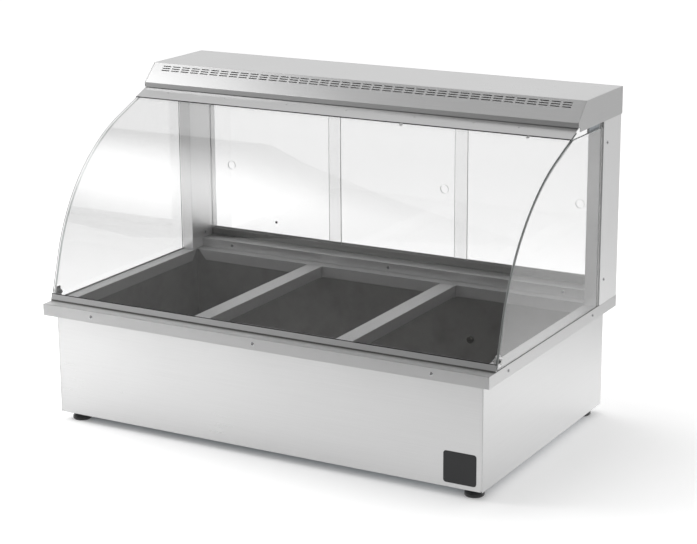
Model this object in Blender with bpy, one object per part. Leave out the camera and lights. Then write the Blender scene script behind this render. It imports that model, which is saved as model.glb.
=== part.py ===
"""Countertop heated food case: a curved glass display over a three-pan hot well.

Units are metres. +X is to the right of someone facing the glass, -Y is the front, +Z is up.
The origin is on the surface that the feet stand on, below the middle of the case.
"""

import math

import bmesh
import bpy
from mathutils import Matrix, Vector

# Names of the things that stand three in a row, from -X to +X
ROW = ("left", "middle", "right")

# Clearances and stock
FIT = 0.0003
SHEET = 0.0012
CUT_OVER = 0.004
BEND_RELIEF = 0.003

# Cabinet and deck
FOOT_HEIGHT = 0.020
BASE_HEIGHT = 0.247
LIP_HEIGHT = 0.025
BASE_INSET = 0.021
PANEL_FLANGE = 0.015
TOP_FLANGE = 0.008
FLOOR_FLANGE = 0.018

# Hot well
PAN_COUNT = len(ROW)
PAN_OPENING_X = 0.305
PAN_OPENING_Y = 0.508
SIDE_RIM = 0.0355
FRONT_RIM = 0.042
REAR_RIM = 0.094
SKIRT_HEIGHT = 0.025
SKIRT_MITRE = 0.020
WELL_DEPTH = 0.170
WELL_GAP = 0.003
WELL_FLANGE = 0.009
DIVIDER_WIDTH = 0.038
DIVIDER_PLAY = 0.002
REST_TAB_WIDTH = 0.040
REST_TAB_REACH = 0.010

# Heating elements under the well floor
HEATER_RADIUS = 0.0035
HEATER_LEGS = 4
HEATER_PITCH = 0.064
HEATER_LENGTH = 0.400
HEATER_BEND_STEPS = 6

# Thermostat probe gland in the rear wall of the well
GLAND_X = 0.226
GLAND_DROP = 0.122
GLAND_RADIUS = 0.008
GLAND_HEAD = 0.007
GLAND_CHAMFER = 0.002
GLAND_STEM = 0.005
GLAND_TAIL = 0.010
GLAND_POCKET_RADIUS = 0.0025
GLAND_POCKET_DEPTH = 0.005

# Feet
FOOT_RADIUS = 0.0205
FOOT_PAD = 0.014
FOOT_SOCKET = 0.0056
FOOT_SHARES = [(0, 0), (0.92, 0), (1, 0.15), (1, 0.50), (0.86, 0.78), (0.47, 1)]
FOOT_INSET_X = 0.032
FOOT_INSET_Y = 0.031
STUD_RADIUS = 0.004
STUD_LENGTH = 0.030
BOSS_RADIUS = 0.009
BOSS_HEIGHT = 0.012

# Rear ledge, posts and door tracks
LEDGE_FRONT = 0.026
LEDGE_HEIGHT = 0.021
POST_WIDTH = 0.033
POST_FRONT_Y = 0.213
POST_REBATE = 0.012
POST_WALL = 0.0015
POST_SEAM = 0.002
TRACK_HEIGHT = 0.015
TRACK_WALL = 0.002
TRACK_FLOOR = 0.003
DOOR_COUNT = len(ROW)
DOOR_THICKNESS = 0.004
DOOR_PLAY = 0.0006
DOOR_OVERLAP = 0.034
DOOR_ENGAGE = 0.008
DOOR_LIFT = 0.017
FINGER_RADIUS = 0.010
FINGER_INSET = 0.057
FINGER_RISE = 0.195

# Canopy
CANOPY_RISE = 0.4595
CANOPY_TOP_DEPTH = 0.195
FASCIA_RUN = 0.0412
FASCIA_DROP = 0.0394
CANOPY_LIP = 0.0106
CANOPY_REAR = 0.058
END_SKIRT = 0.009
END_FRONT = 0.008
LIGHT_DROP = 0.032
LIGHT_FLANGE = 0.040
LIGHT_FLANGE_BACK = 0.072
VENT_COLUMNS = 39
VENT_ROWS = 3
VENT_MARGIN = 0.025
VENT_ROW_PITCH = 0.0059
VENT_LENGTH = 0.0205
VENT_HEIGHT = 0.0022
VENT_FROM_TOP = 0.0085

# Heat lamps
LAMP_LENGTH = 0.250
LAMP_RADIUS = 0.006
LAMP_CAP = 0.0075
LAMP_CAP_LENGTH = 0.022
LAMP_DROP = 0.016
LAMP_BRACKET_WIDTH = 0.034
LAMP_BRACKET_DROP = 0.026

# Glass
GLASS = 0.005
GLASS_SETBACK = 0.0305
GLASS_LIFT = 0.0045
GLASS_LEAN = math.radians(16.5)
GLASS_LOWER_RUN = 0.095
GLASS_HEAD_LEAN = math.radians(68)
GLASS_HEAD_AHEAD = 0.0085
GLASS_HEAD_DROP = 0.0062
GLASS_STEPS = 24
SIDE_SETBACK = 0.003
SIDE_TOP = 0.3886
GASKET = 0.0015
STRIP_LENGTH = 0.042

# Front rail, its ears and their bolts
RAIL_WALL = 0.0013
RAIL_LEG = 0.010
EAR_REACH = 0.022
EAR_HEIGHT = 0.027
EAR_WALL = 0.002
BOLT_BACK = 0.008
BOLT_RISE = 0.0165
BOLT_RADIUS = 0.0025
BOLT_HEAD = 0.0055
BOLT_HEAD_THICK = 0.003
NUT_RADIUS = 0.0050
NUT_THICK = 0.0045

# Controls on the rear panel
CONTROL_X = 0.230
CONTROL_RISE = 0.120
CONTROL_PITCH = 0.070
KNOB_RADIUS = 0.019
KNOB_DEPTH = 0.016
KNOB_STANDOFF = 0.0015
KNOB_SKIRT = 0.003
KNOB_SHOULDER = 0.002
KNOB_GRIP = 0.0137
KNOB_ROUND = 0.0015
KNOB_RIB = 0.0016
SHAFT_RADIUS = 0.003
SHAFT_LENGTH = 0.012
NECK_RADIUS = 0.006
NECK_ROOT = 0.010
STAT_SIZE = 0.040
STAT_DEPTH = 0.032
SWITCH_WIDTH = 0.022
SWITCH_HEIGHT = 0.030
SWITCH_DEPTH = 0.024
SWITCH_BEZEL = 0.002
SWITCH_RIM = 0.003
ROCKER_TILT = math.radians(9)
ROCKER_PROUD = 0.0055
ROCKER_CREST = 0.0032
ROCKER_WAIST = 0.002
ROCKER_BACK = 0.003
ROCKER_TAPER = 0.0006
PILOT_RADIUS = 0.006
PILOT_RIM = 0.008
PILOT_LENS = 0.0036
PILOT_DOME = 0.0045
PILOT_BODY = 0.014
INLET_X = 0.380
INLET_RISE = 0.055
INLET_RADIUS = 0.011
INLET_STEM = 0.0077
INLET_BACK = 0.012
INLET_COLLAR = 0.003
INLET_CROWN = 0.005
TERMINAL_LENGTH = 0.090
TERMINAL_WIDTH = 0.024
TERMINAL_HEIGHT = 0.018
TERMINAL_SEAT = 0.010
TERMINAL_BARRIER = 0.003
TERMINAL_BACK = 0.045
TERMINAL_WAYS = 5
LOUVRE_COUNT = 14
LOUVRE_PITCH = 0.018
LOUVRE_WIDTH = 0.004
LOUVRE_HEIGHT = 0.050

# Planes and edges that follow from the sizes above
OPEN_X = (PAN_COUNT * PAN_OPENING_X + (PAN_COUNT - 1) * DIVIDER_WIDTH) / 2
LIP_X = OPEN_X + SIDE_RIM
LIP_Y = (FRONT_RIM + PAN_OPENING_Y + REAR_RIM) / 2
BASE_X = LIP_X - BASE_INSET
BASE_Y = LIP_Y - BASE_INSET
FLOOR_Z = FOOT_HEIGHT
DECK_Z = FLOOR_Z + BASE_HEIGHT
PANEL_TOP = DECK_Z - 2 * (SHEET + FIT)
OPEN_FRONT = -LIP_Y + FRONT_RIM
OPEN_REAR = OPEN_FRONT + PAN_OPENING_Y
WELL_X = OPEN_X + WELL_GAP
WELL_FRONT = OPEN_FRONT - WELL_GAP
WELL_REAR = OPEN_REAR + WELL_GAP
WELL_FLOOR = DECK_Z - WELL_DEPTH
DIVIDER_PITCH = PAN_OPENING_X + DIVIDER_WIDTH
GLASS_IN = LIP_X - GLASS
POST_IN = LIP_X - POST_WIDTH
POST_REAR = LIP_Y - SHEET - FIT
LEDGE_Y = OPEN_REAR + LEDGE_FRONT
LEDGE_TOP = DECK_Z + LEDGE_HEIGHT
CANOPY_TOP = DECK_Z + CANOPY_RISE
HOOD_X = LIP_X
END_X = HOOD_X + FIT + SHEET
FASCIA_TOP_Y = LIP_Y - CANOPY_TOP_DEPTH
LIP_FACE_Y = FASCIA_TOP_Y - FASCIA_RUN
LIP_TOP_Z = CANOPY_TOP - FASCIA_DROP
LIP_LOW_Z = LIP_TOP_Z - CANOPY_LIP
LIGHT_Z = CANOPY_TOP - LIGHT_DROP
GROOVE = DOOR_THICKNESS + 2 * DOOR_PLAY
TRACK_DEPTH = DOOR_COUNT * GROOVE + (DOOR_COUNT + 1) * TRACK_WALL
TRACK_REAR = POST_REAR
TRACK_FRONT = TRACK_REAR - TRACK_DEPTH
TRACK_X = POST_IN - FIT
TRACK_LOW_Z = LEDGE_TOP + FIT
UPPER_TRACK_TOP = LIGHT_Z - SHEET - FIT
UPPER_TRACK_LOW = UPPER_TRACK_TOP - TRACK_FLOOR - DOOR_ENGAGE - DOOR_LIFT
DOOR_LOW = TRACK_LOW_Z + TRACK_FLOOR + FIT
DOOR_TOP = UPPER_TRACK_LOW + DOOR_ENGAGE
DOOR_SPAN = 2 * (TRACK_X - FIT)
DOOR_WIDTH = (DOOR_SPAN + (DOOR_COUNT - 1) * DOOR_OVERLAP) / DOOR_COUNT
BOLT_Y = -LIP_Y + GLASS_SETBACK + GLASS + RAIL_WALL + EAR_REACH - BOLT_BACK
BOLT_Z = DECK_Z + BOLT_RISE
PANEL_OUT = BASE_Y
PANEL_IN = BASE_Y - SHEET
CONTROL_Z = FLOOR_Z + CONTROL_RISE


def clear_scene():
    for obj in list(bpy.data.objects):
        bpy.data.objects.remove(obj, do_unlink=True)


def material(name, colour, roughness, metallic, alpha=1.0):
    """A Principled material with one colour; alpha below one marks clear glass."""
    made = bpy.data.materials.new(name)
    made.use_nodes = True
    shader = made.node_tree.nodes["Principled BSDF"]
    shader.inputs["Base Color"].default_value = (*colour, 1.0)
    shader.inputs["Roughness"].default_value = roughness
    shader.inputs["Metallic"].default_value = metallic
    shader.inputs["Alpha"].default_value = alpha
    return made


def add_object(name, bm, finish, origin=(0, 0, 0), smooth=None):
    """Turns a bmesh in world coordinates into an object whose origin is at the given point."""
    bmesh.ops.translate(bm, verts=bm.verts, vec=-Vector(origin))
    mesh = bpy.data.meshes.new(name)
    bm.to_mesh(mesh)
    bm.free()
    mesh.materials.append(finish)
    obj = bpy.data.objects.new(name, mesh)
    obj.location = origin
    bpy.context.collection.objects.link(obj)
    if smooth:
        mesh.shade_smooth()
        mesh.set_sharp_from_angle(angle=smooth)
    return obj


def place(axis, along, a, b):
    """A point from its height along an axis and its two other coordinates in X, Y, Z order."""
    return {"X": (along, a, b), "Y": (a, along, b), "Z": (a, b, along)}[axis]


def add_prism(bm, outline, axis, low, high):
    """A straight extrusion of a closed outline between two heights along an axis."""
    ends = [[bm.verts.new(place(axis, h, a, b)) for a, b in outline] for h in (low, high)]
    faces = [bm.faces.new(ends[0]), bm.faces.new(ends[1])]
    count = len(outline)
    for i in range(count):
        j = (i + 1) % count
        faces.append(bm.faces.new((ends[0][i], ends[0][j], ends[1][j], ends[1][i])))
    bmesh.ops.recalc_face_normals(bm, faces=faces)


def add_box(bm, low, high):
    outline = [(low[0], low[1]), (high[0], low[1]), (high[0], high[1]), (low[0], high[1])]
    add_prism(bm, outline, "Z", low[2], high[2])


def add_turned(bm, profile, axis, centre, sides=24):
    """A closed (radius, height) profile turned about an axis; a radius of zero is on the axis."""
    rings = []
    for radius, height in profile:
        steps = sides if radius else 1
        ring = []
        for i in range(steps):
            turn = 2 * math.pi * i / steps
            spoke = (radius * math.cos(turn), radius * math.sin(turn))
            point = Vector(place(axis, height, *spoke)) + Vector(centre)
            ring.append(bm.verts.new(point))
        rings.append(ring)
    faces = []
    for lower, upper in zip(rings, rings[1:] + rings[:1]):
        if len(lower) == len(upper) == 1:
            continue
        for i in range(sides):
            j = (i + 1) % sides
            corners = [lower[i % len(lower)], lower[j % len(lower)]]
            corners += [upper[j % len(upper)], upper[i % len(upper)]]
            faces.append(bm.faces.new(list(dict.fromkeys(corners))))
    bmesh.ops.recalc_face_normals(bm, faces=faces)


def disc(radius, sides=24):
    """A round outline about the origin."""
    turns = [2 * math.pi * i / sides for i in range(sides)]
    return [(radius * math.cos(t), radius * math.sin(t)) for t in turns]


def shifted(outline, a, b):
    return [(p + a, q + b) for p, q in outline]


def offset_line(points, distance):
    """A polyline moved sideways to its left by a distance, with mitred corners."""
    points = [Vector(p) for p in points]
    headings = [(b - a).normalized() for a, b in zip(points, points[1:])]
    lefts = [Vector((-h.y, h.x)) for h in headings]
    moved = []
    for i, point in enumerate(points):
        before = lefts[max(i - 1, 0)]
        after = lefts[min(i, len(lefts) - 1)]
        bisector = (before + after).normalized()
        moved.append(tuple(point + bisector * (distance / bisector.dot(before))))
    return moved


def folded(points, thickness):
    """The section outline of a sheet bent along a polyline, with its thickness on the left."""
    return list(points) + offset_line(points, thickness)[::-1]


def solid(name, finish, build, origin=(0, 0, 0), smooth=None):
    """An object whose bmesh is filled by the given function."""
    bm = bmesh.new()
    build(bm)
    return add_object(name, bm, finish, origin, smooth)


def prism(name, finish, outline, axis, low, high, **options):
    return solid(name, finish, lambda bm: add_prism(bm, outline, axis, low, high), **options)


def turned(name, finish, profile, axis, centre, sides=24, **options):
    options.setdefault("smooth", math.radians(40))
    return solid(name, finish, lambda bm: add_turned(bm, profile, axis, centre, sides), **options)


def helper(name, build):
    """A cutter or an added lump that a Boolean uses; it isn't a piece by itself."""
    obj = solid(name, bpy.data.materials["cutter"], build)
    obj.hide_render = True
    obj.display_type = "WIRE"
    return obj


def boolean(obj, tool, operation):
    step = obj.modifiers.new(tool.name, "BOOLEAN")
    step.operation = operation
    step.solver = "EXACT"
    step.object = tool


def cut(obj, build):
    boolean(obj, helper(obj.name + ".cutter", build), "DIFFERENCE")


def join(obj, build):
    boolean(obj, helper(obj.name + ".added", build), "UNION")


def sheet_metal(name, finish, faces, thickness=SHEET):
    """A folded sheet: faces are (points, facing) pairs on its show side, thickened behind them."""
    bm = bmesh.new()
    known = {}
    for points, facing in faces:
        corners = []
        for point in points:
            key = tuple(round(c, 6) for c in point)
            if key not in known:
                known[key] = bm.verts.new(point)
            corners.append(known[key])
        made = bm.faces.new(corners)
        made.normal_update()
        if made.normal.dot(Vector(facing)) < 0:
            made.normal_flip()
    obj = add_object(name, bm, finish)
    thicken = obj.modifiers.new("sheet thickness", "SOLIDIFY")
    thicken.thickness = thickness
    thicken.offset = -1
    thicken.use_even_offset = True
    thicken.use_quality_normals = True
    return obj


def panel(name, finish, centre, across, up, facing, half, flanges, inset=BEND_RELIEF):
    """A flat sheet with its edges bent back by the depths at +across, +up, -across and -up."""
    centre, across, up, facing = (Vector(v) for v in (centre, across, up, facing))

    def at(spot, back=0.0):
        return tuple(centre + across * spot[0] + up * spot[1] - facing * back)

    a, b = half
    r = inset
    sides = [
        ((a, r - b), (a, b - r), across),
        ((a - r, b), (r - a, b), up),
        ((-a, b - r), (-a, r - b), -across),
        ((r - a, -b), (a - r, -b), -up),
    ]
    corners = [(a, b), (-a, b), (-a, -b), (a, -b)]
    outline = []
    strips = []
    for i, (start, end, out) in enumerate(sides):
        x, y = corners[i]
        notched = flanges[i] and flanges[(i + 1) % 4]
        step = r if notched else 0.0
        outline += [start, end, (x - math.copysign(step, x), y - math.copysign(step, y))]
        if flanges[i]:
            strip = [at(start), at(end), at(end, flanges[i]), at(start, flanges[i])]
            strips.append((strip, out))
    return sheet_metal(name, finish, [([at(p) for p in outline], facing)] + strips)


def make_finishes():
    """The finishes, by the name of what they are made of."""
    return {
        "steel": material("brushed steel", (0.60, 0.60, 0.60), 0.33, 1.0),
        "liner": material("well steel", (0.33, 0.33, 0.32), 0.42, 1.0),
        "galvanised": material("galvanised sheet", (0.48, 0.49, 0.50), 0.50, 1.0),
        "zinc": material("zinc-plated steel", (0.62, 0.62, 0.60), 0.35, 1.0),
        "glass": material("clear glass", (0.90, 0.95, 0.94), 0.02, 0.0, 0.15),
        "rubber": material("black rubber", (0.02, 0.02, 0.02), 0.75, 0.0),
        "black": material("black plastic", (0.015, 0.015, 0.016), 0.40, 0.0),
        "red": material("red lens", (0.55, 0.03, 0.02), 0.20, 0.0),
        "ceramic": material("white ceramic", (0.80, 0.79, 0.75), 0.45, 0.0),
        "heater": material("heater sheath", (0.18, 0.16, 0.15), 0.55, 1.0),
        "lamp": material("lamp glass", (0.85, 0.80, 0.74), 0.15, 0.0),
        "cutter": material("cutter", (1.0, 0.3, 0.0), 0.5, 0.0),
    }


def foot_centres():
    """Corner names and the foot positions that go with them."""
    x = BASE_X - FOOT_INSET_X
    y = BASE_Y - FOOT_INSET_Y
    return {
        "front_left": (-x, -y),
        "front_right": (x, -y),
        "rear_left": (-x, y),
        "rear_right": (x, y),
    }


def make_base(finish):
    """Floor pan, front panel and the two side panels."""
    steel = finish["steel"]
    middle = (PANEL_TOP + FLOOR_Z) / 2
    tall = (PANEL_TOP - FLOOR_Z) / 2
    between = BASE_X - SHEET - FIT
    up = (0, 0, 1)
    flanges = (PANEL_FLANGE, TOP_FLANGE, PANEL_FLANGE, PANEL_FLANGE)
    front = (0, -BASE_Y, middle)
    panel("front_panel", steel, front, (1, 0, 0), up, (0, -1, 0), (between, tall), flanges)
    for name, side in (("left", -1), ("right", 1)):
        centre = (side * BASE_X, 0, middle)
        half = (BASE_Y, tall)
        bent = (0, TOP_FLANGE, 0, PANEL_FLANGE)
        clear = PANEL_FLANGE + FIT
        panel("side_panel_" + name, steel, centre, (0, side, 0), up, (side, 0, 0), half, bent, clear)

    pan_x = between - SHEET - FIT
    pan_y = BASE_Y - SHEET - FIT
    lift = FLOOR_Z + SHEET + FIT
    turned_up = (FLOOR_FLANGE,) * 4
    half = (pan_x, pan_y)
    floor = finish["galvanised"]
    pan = panel("floor_pan", floor, (0, 0, lift), (1, 0, 0), (0, 1, 0), (0, 0, -1), half, turned_up)
    join(pan, lambda bm: add_foot_bosses(bm, lift))
    cut(pan, lambda bm: add_foot_holes(bm, lift))


def add_foot_bosses(bm, lift):
    for x, y in foot_centres().values():
        ring = shifted(disc(BOSS_RADIUS), x, y)
        add_prism(bm, ring, "Z", lift + SHEET / 2, lift + BOSS_HEIGHT)


def add_foot_holes(bm, lift):
    for x, y in foot_centres().values():
        ring = shifted(disc(STUD_RADIUS + FIT), x, y)
        add_prism(bm, ring, "Z", lift - CUT_OVER, lift + BOSS_HEIGHT + CUT_OVER)


def make_feet(finish):
    """Round levelling feet, each a moulded pad on a threaded stud that turns with it."""
    for name, (x, y) in foot_centres().items():
        pad = [(FOOT_RADIUS * r, FOOT_PAD * h) for r, h in FOOT_SHARES]
        bore = STUD_RADIUS + FIT
        pad += [(bore, FOOT_PAD), (bore, FOOT_SOCKET), (0, FOOT_SOCKET)]
        turned("foot_" + name, finish["rubber"], pad, "Z", (x, y, 0), origin=(x, y, 0))
        seat = FOOT_SOCKET + FIT
        stud = [(0, seat), (STUD_RADIUS, seat), (STUD_RADIUS, STUD_LENGTH), (0, STUD_LENGTH)]
        turned("stud_" + name, finish["zinc"], stud, "Z", (x, y, 0), sides=16, origin=(x, y, 0))


def make_deck(finish):
    """The top deck: lip all round, rim, mitred skirts inside the well and rests for the dividers."""
    outer = [(-LIP_X, -LIP_Y), (LIP_X, -LIP_Y), (LIP_X, LIP_Y), (-LIP_X, LIP_Y)]
    inner = [(-OPEN_X, OPEN_FRONT), (OPEN_X, OPEN_FRONT), (OPEN_X, OPEN_REAR), (-OPEN_X, OPEN_REAR)]
    under = BASE_INSET - FIT
    tucked = [(math.copysign(LIP_X - under, x), math.copysign(LIP_Y - under, y)) for x, y in outer]
    outward = [(0, -1, 0), (1, 0, 0), (0, 1, 0), (-1, 0, 0)]
    low = DECK_Z - LIP_HEIGHT
    faces = []
    for i in range(4):
        j = (i + 1) % 4
        a, b = Vector(inner[i]), Vector(inner[j])
        along = (b - a).normalized()
        a_in, b_in = a + along * BEND_RELIEF, b - along * BEND_RELIEF
        rim = [(*outer[i], DECK_Z), (*outer[j], DECK_Z), (*b, DECK_Z)]
        rim += [(*b_in, DECK_Z), (*a_in, DECK_Z), (*a, DECK_Z)]
        faces.append((rim, (0, 0, 1)))
        lip = [(*outer[i], DECK_Z), (*outer[j], DECK_Z), (*outer[j], low), (*outer[i], low)]
        faces.append((lip, outward[i]))
        hem = [(*outer[i], low), (*outer[j], low), (*tucked[j], low), (*tucked[i], low)]
        faces.append((hem, (0, 0, -1)))
        inward = Vector(outward[i]) * -1
        faces += skirt_faces(a_in, b_in, along, inward)
    sheet_metal("deck_frame", finish["steel"], faces)


def skirt_faces(start, end, along, inward):
    """One skirt of the well opening, with a rest tab under each divider that ends on it."""
    low = DECK_Z - SKIRT_HEIGHT
    edge = [(*(end - along * SKIRT_MITRE), low), (*(start + along * SKIRT_MITRE), low)]
    tabs = []
    if abs(along.x) > 0.5:
        middle = (start + end) / 2
        for i in range(PAN_COUNT - 1):
            shift = (i - (PAN_COUNT - 2) / 2) * DIVIDER_PITCH
            near = middle + along * (shift - REST_TAB_WIDTH / 2)
            far = middle + along * (shift + REST_TAB_WIDTH / 2)
            reach = Vector((inward[0], inward[1])) * REST_TAB_REACH
            tabs.append((near, far, reach))
    bottom = [edge[0]]
    faces = []
    for near, far, reach in reversed(tabs):
        bottom += [(*far, low), (*near, low)]
        lug = [(*near, low), (*far, low), (*(far + reach), low), (*(near + reach), low)]
        faces.append((lug, (0, 0, 1)))
    bottom.append(edge[1])
    wall = [(*start, DECK_Z), (*end, DECK_Z)] + bottom
    return [(wall, inward)] + faces


def make_well(finish):
    """The hot well's tub with its flange under the deck, and the dividers that rest across it."""
    top = DECK_Z - SHEET - FIT
    low = [(-WELL_X, WELL_FRONT), (WELL_X, WELL_FRONT), (WELL_X, WELL_REAR), (-WELL_X, WELL_REAR)]
    out_x = WELL_X + WELL_FLANGE
    out = [
        (-out_x, WELL_FRONT - WELL_FLANGE),
        (out_x, WELL_FRONT - WELL_FLANGE),
        (out_x, WELL_REAR + WELL_FLANGE),
        (-out_x, WELL_REAR + WELL_FLANGE),
    ]
    inward = [(0, 1, 0), (-1, 0, 0), (0, -1, 0), (1, 0, 0)]
    faces = [([(*p, WELL_FLOOR) for p in low], (0, 0, 1))]
    for i in range(4):
        j = (i + 1) % 4
        wall = [(*low[i], WELL_FLOOR), (*low[j], WELL_FLOOR), (*low[j], top), (*low[i], top)]
        faces.append((wall, inward[i]))
        flange = [(*low[i], top), (*low[j], top), (*out[j], top), (*out[i], top)]
        faces.append((flange, (0, 0, 1)))
    liner = sheet_metal("well_liner", finish["liner"], faces)
    gland = (GLAND_X, WELL_REAR, DECK_Z - GLAND_DROP)
    hole = shifted(disc(GLAND_STEM + FIT), gland[0], gland[2])
    cut(liner, lambda bm: add_prism(bm, hole, "Y", WELL_REAR - CUT_OVER, WELL_REAR + CUT_OVER))

    pocket = GLAND_POCKET_DEPTH - GLAND_HEAD
    profile = [
        (0, pocket),
        (GLAND_POCKET_RADIUS, pocket),
        (GLAND_POCKET_RADIUS, -GLAND_HEAD),
        (GLAND_RADIUS - GLAND_CHAMFER, -GLAND_HEAD),
        (GLAND_RADIUS, GLAND_CHAMFER - GLAND_HEAD),
        (GLAND_RADIUS, -FIT),
        (GLAND_STEM, -FIT),
        (GLAND_STEM, GLAND_TAIL),
        (0, GLAND_TAIL),
    ]
    turned("probe_gland", finish["zinc"], profile, "Y", gland, sides=16)

    for name, side in (("left", -1), ("right", 1)):
        make_divider("divider_" + name, finish["steel"], side * DIVIDER_PITCH / 2)


def make_divider(name, finish, x):
    """An inverted channel that lies level with the rim and stands on the rest tabs."""
    half = DIVIDER_WIDTH / 2
    low = DECK_Z - SKIRT_HEIGHT + FIT
    line = [(x - half, low), (x - half, DECK_Z), (x + half, DECK_Z), (x + half, low)]
    section = folded(line, -SHEET)
    front, rear = OPEN_FRONT + DIVIDER_PLAY, OPEN_REAR - DIVIDER_PLAY
    prism(name, finish, section, "Y", front, rear, origin=(x, (front + rear) / 2, DECK_Z))


def heater_route():
    """Points of a tubular element laid to and fro, with half-round bends, about its middle."""
    bend = HEATER_PITCH / 2
    half = HEATER_LENGTH / 2
    points = []
    for leg in range(HEATER_LEGS):
        x = (leg - (HEATER_LEGS - 1) / 2) * HEATER_PITCH
        rising = leg % 2 == 0
        points.append((x, half if not rising else -half))
        points.append((x, -half if not rising else half))
        if leg == HEATER_LEGS - 1:
            break
        turn = 1 if rising else -1
        for i in range(1, HEATER_BEND_STEPS):
            angle = math.pi * i / HEATER_BEND_STEPS
            points.append((x + bend - bend * math.cos(angle), turn * (half + bend * math.sin(angle))))
    return points


def row_x(i, pitch):
    """X of one of the things that stand three in a row."""
    return (i - (len(ROW) - 1) / 2) * pitch


def make_heaters(finish):
    """One tubular heating element against the underside of the well floor for each pan."""
    z = WELL_FLOOR - SHEET - FIT - HEATER_RADIUS
    middle = (WELL_FRONT + WELL_REAR) / 2
    for i, name in enumerate(ROW):
        curve = bpy.data.curves.new("heater_" + name, "CURVE")
        curve.dimensions = "3D"
        curve.bevel_depth = HEATER_RADIUS
        curve.bevel_resolution = 1
        curve.use_fill_caps = True
        route = heater_route()
        line = curve.splines.new("POLY")
        line.points.add(len(route) - 1)
        for point, (x, y) in zip(line.points, route):
            point.co = (x, y, 0, 1)
        curve.materials.append(finish["heater"])
        obj = bpy.data.objects.new("heater_" + name, curve)
        obj.location = (row_x(i, DIVIDER_PITCH), middle, z)
        bpy.context.collection.objects.link(obj)


def control_places():
    """X of the thermostat, the two switches and the pilot lamp, from the operator's right to left."""
    names = ("thermostat", "power", "light", "pilot")
    return {name: -CONTROL_X - i * CONTROL_PITCH for i, name in enumerate(names)}


def make_rear_panel(finish):
    """The operator's side: a panel with cut-outs for the controls, an inlet hole and louvres."""
    middle = (PANEL_TOP + FLOOR_Z) / 2
    tall = (PANEL_TOP - FLOOR_Z) / 2
    half = (BASE_X - SHEET - FIT, tall)
    flanges = (PANEL_FLANGE, TOP_FLANGE, PANEL_FLANGE, PANEL_FLANGE)
    centre = (0, BASE_Y, middle)
    wall = panel("rear_panel", finish["steel"], centre, (-1, 0, 0), (0, 0, 1), (0, 1, 0), half, flanges)
    cut(wall, add_rear_holes)


def add_rear_holes(bm):
    places = control_places()
    low, high = PANEL_IN - CUT_OVER, PANEL_OUT + CUT_OVER
    rounds = [
        (places["thermostat"], CONTROL_Z, NECK_RADIUS + FIT),
        (places["pilot"], CONTROL_Z, PILOT_RADIUS + FIT),
        (INLET_X, FLOOR_Z + INLET_RISE, INLET_STEM + FIT),
    ]
    for x, z, radius in rounds:
        add_prism(bm, shifted(disc(radius), x, z), "Y", low, high)
    half_x = SWITCH_WIDTH / 2 + FIT
    half_z = SWITCH_HEIGHT / 2 + FIT
    for name in ("power", "light"):
        x = places[name]
        add_box(bm, (x - half_x, low, CONTROL_Z - half_z), (x + half_x, high, CONTROL_Z + half_z))
    for i in range(LOUVRE_COUNT):
        x = (i - (LOUVRE_COUNT - 1) / 2) * LOUVRE_PITCH + CONTROL_X / 2
        half = LOUVRE_WIDTH / 2
        tall = LOUVRE_HEIGHT / 2
        add_box(bm, (x - half, low, CONTROL_Z - tall), (x + half, high, CONTROL_Z + tall))


def make_controls(finish):
    """Thermostat with its knob, two rocker switches, pilot lamp, capped cord gland and terminals."""
    places = control_places()
    make_thermostat(finish, places["thermostat"])
    make_switch("power", finish, places["power"])
    make_switch("light", finish, places["light"])

    lens = [
        (0, -PILOT_BODY),
        (PILOT_RADIUS, -PILOT_BODY),
        (PILOT_RADIUS, FIT),
        (PILOT_RIM, FIT),
        (PILOT_RIM, PILOT_DOME / 2),
        (PILOT_LENS, PILOT_DOME),
        (0, PILOT_DOME),
    ]
    turned("pilot_lamp", finish["red"], lens, "Y", (places["pilot"], PANEL_OUT, CONTROL_Z))

    gland = [
        (0, -INLET_BACK),
        (INLET_STEM, -INLET_BACK),
        (INLET_STEM, FIT),
        (INLET_RADIUS, FIT),
        (INLET_RADIUS, INLET_COLLAR),
        (INLET_STEM, INLET_CROWN),
        (0, INLET_CROWN),
    ]
    turned("cord_gland", finish["black"], gland, "Y", (INLET_X, PANEL_OUT, FLOOR_Z + INLET_RISE))
    make_terminal_block(finish)


def make_thermostat(finish, x):
    body_y = PANEL_IN - FIT
    half = STAT_SIZE / 2
    centre = (x, PANEL_OUT, CONTROL_Z)
    tip = KNOB_STANDOFF + SHAFT_LENGTH
    low = (x - half, body_y - STAT_DEPTH, CONTROL_Z - half)
    high = (x + half, body_y, CONTROL_Z + half)
    body = solid("thermostat", finish["ceramic"], lambda bm: add_box(bm, low, high))
    neck = [(0, -NECK_ROOT), (NECK_RADIUS, -NECK_ROOT), (NECK_RADIUS, 0)]
    neck += [(SHAFT_RADIUS, 0), (SHAFT_RADIUS, tip), (0, tip)]
    join(body, lambda bm: add_turned(bm, neck, "Y", centre, 16))

    near, far = KNOB_STANDOFF, KNOB_STANDOFF + KNOB_DEPTH
    bore = SHAFT_RADIUS + FIT
    profile = [
        (bore, near),
        (KNOB_RADIUS, near),
        (KNOB_RADIUS, near + KNOB_SKIRT),
        (KNOB_GRIP, near + KNOB_SKIRT + KNOB_SHOULDER),
        (KNOB_GRIP, far - KNOB_ROUND),
        (KNOB_GRIP - KNOB_ROUND, far),
        (0, far),
        (0, tip + FIT),
        (bore, tip + FIT),
    ]
    knob = turned("thermostat_knob", finish["black"], profile, "Y", centre, sides=28, origin=centre)
    rib_low = (x - KNOB_RIB, PANEL_OUT + far - KNOB_RIB * 3, CONTROL_Z + KNOB_RIB * 2)
    rib_high = (x + KNOB_RIB, PANEL_OUT + far + KNOB_RIB, CONTROL_Z + KNOB_GRIP)
    join(knob, lambda bm: add_box(bm, rib_low, rib_high))


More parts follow.
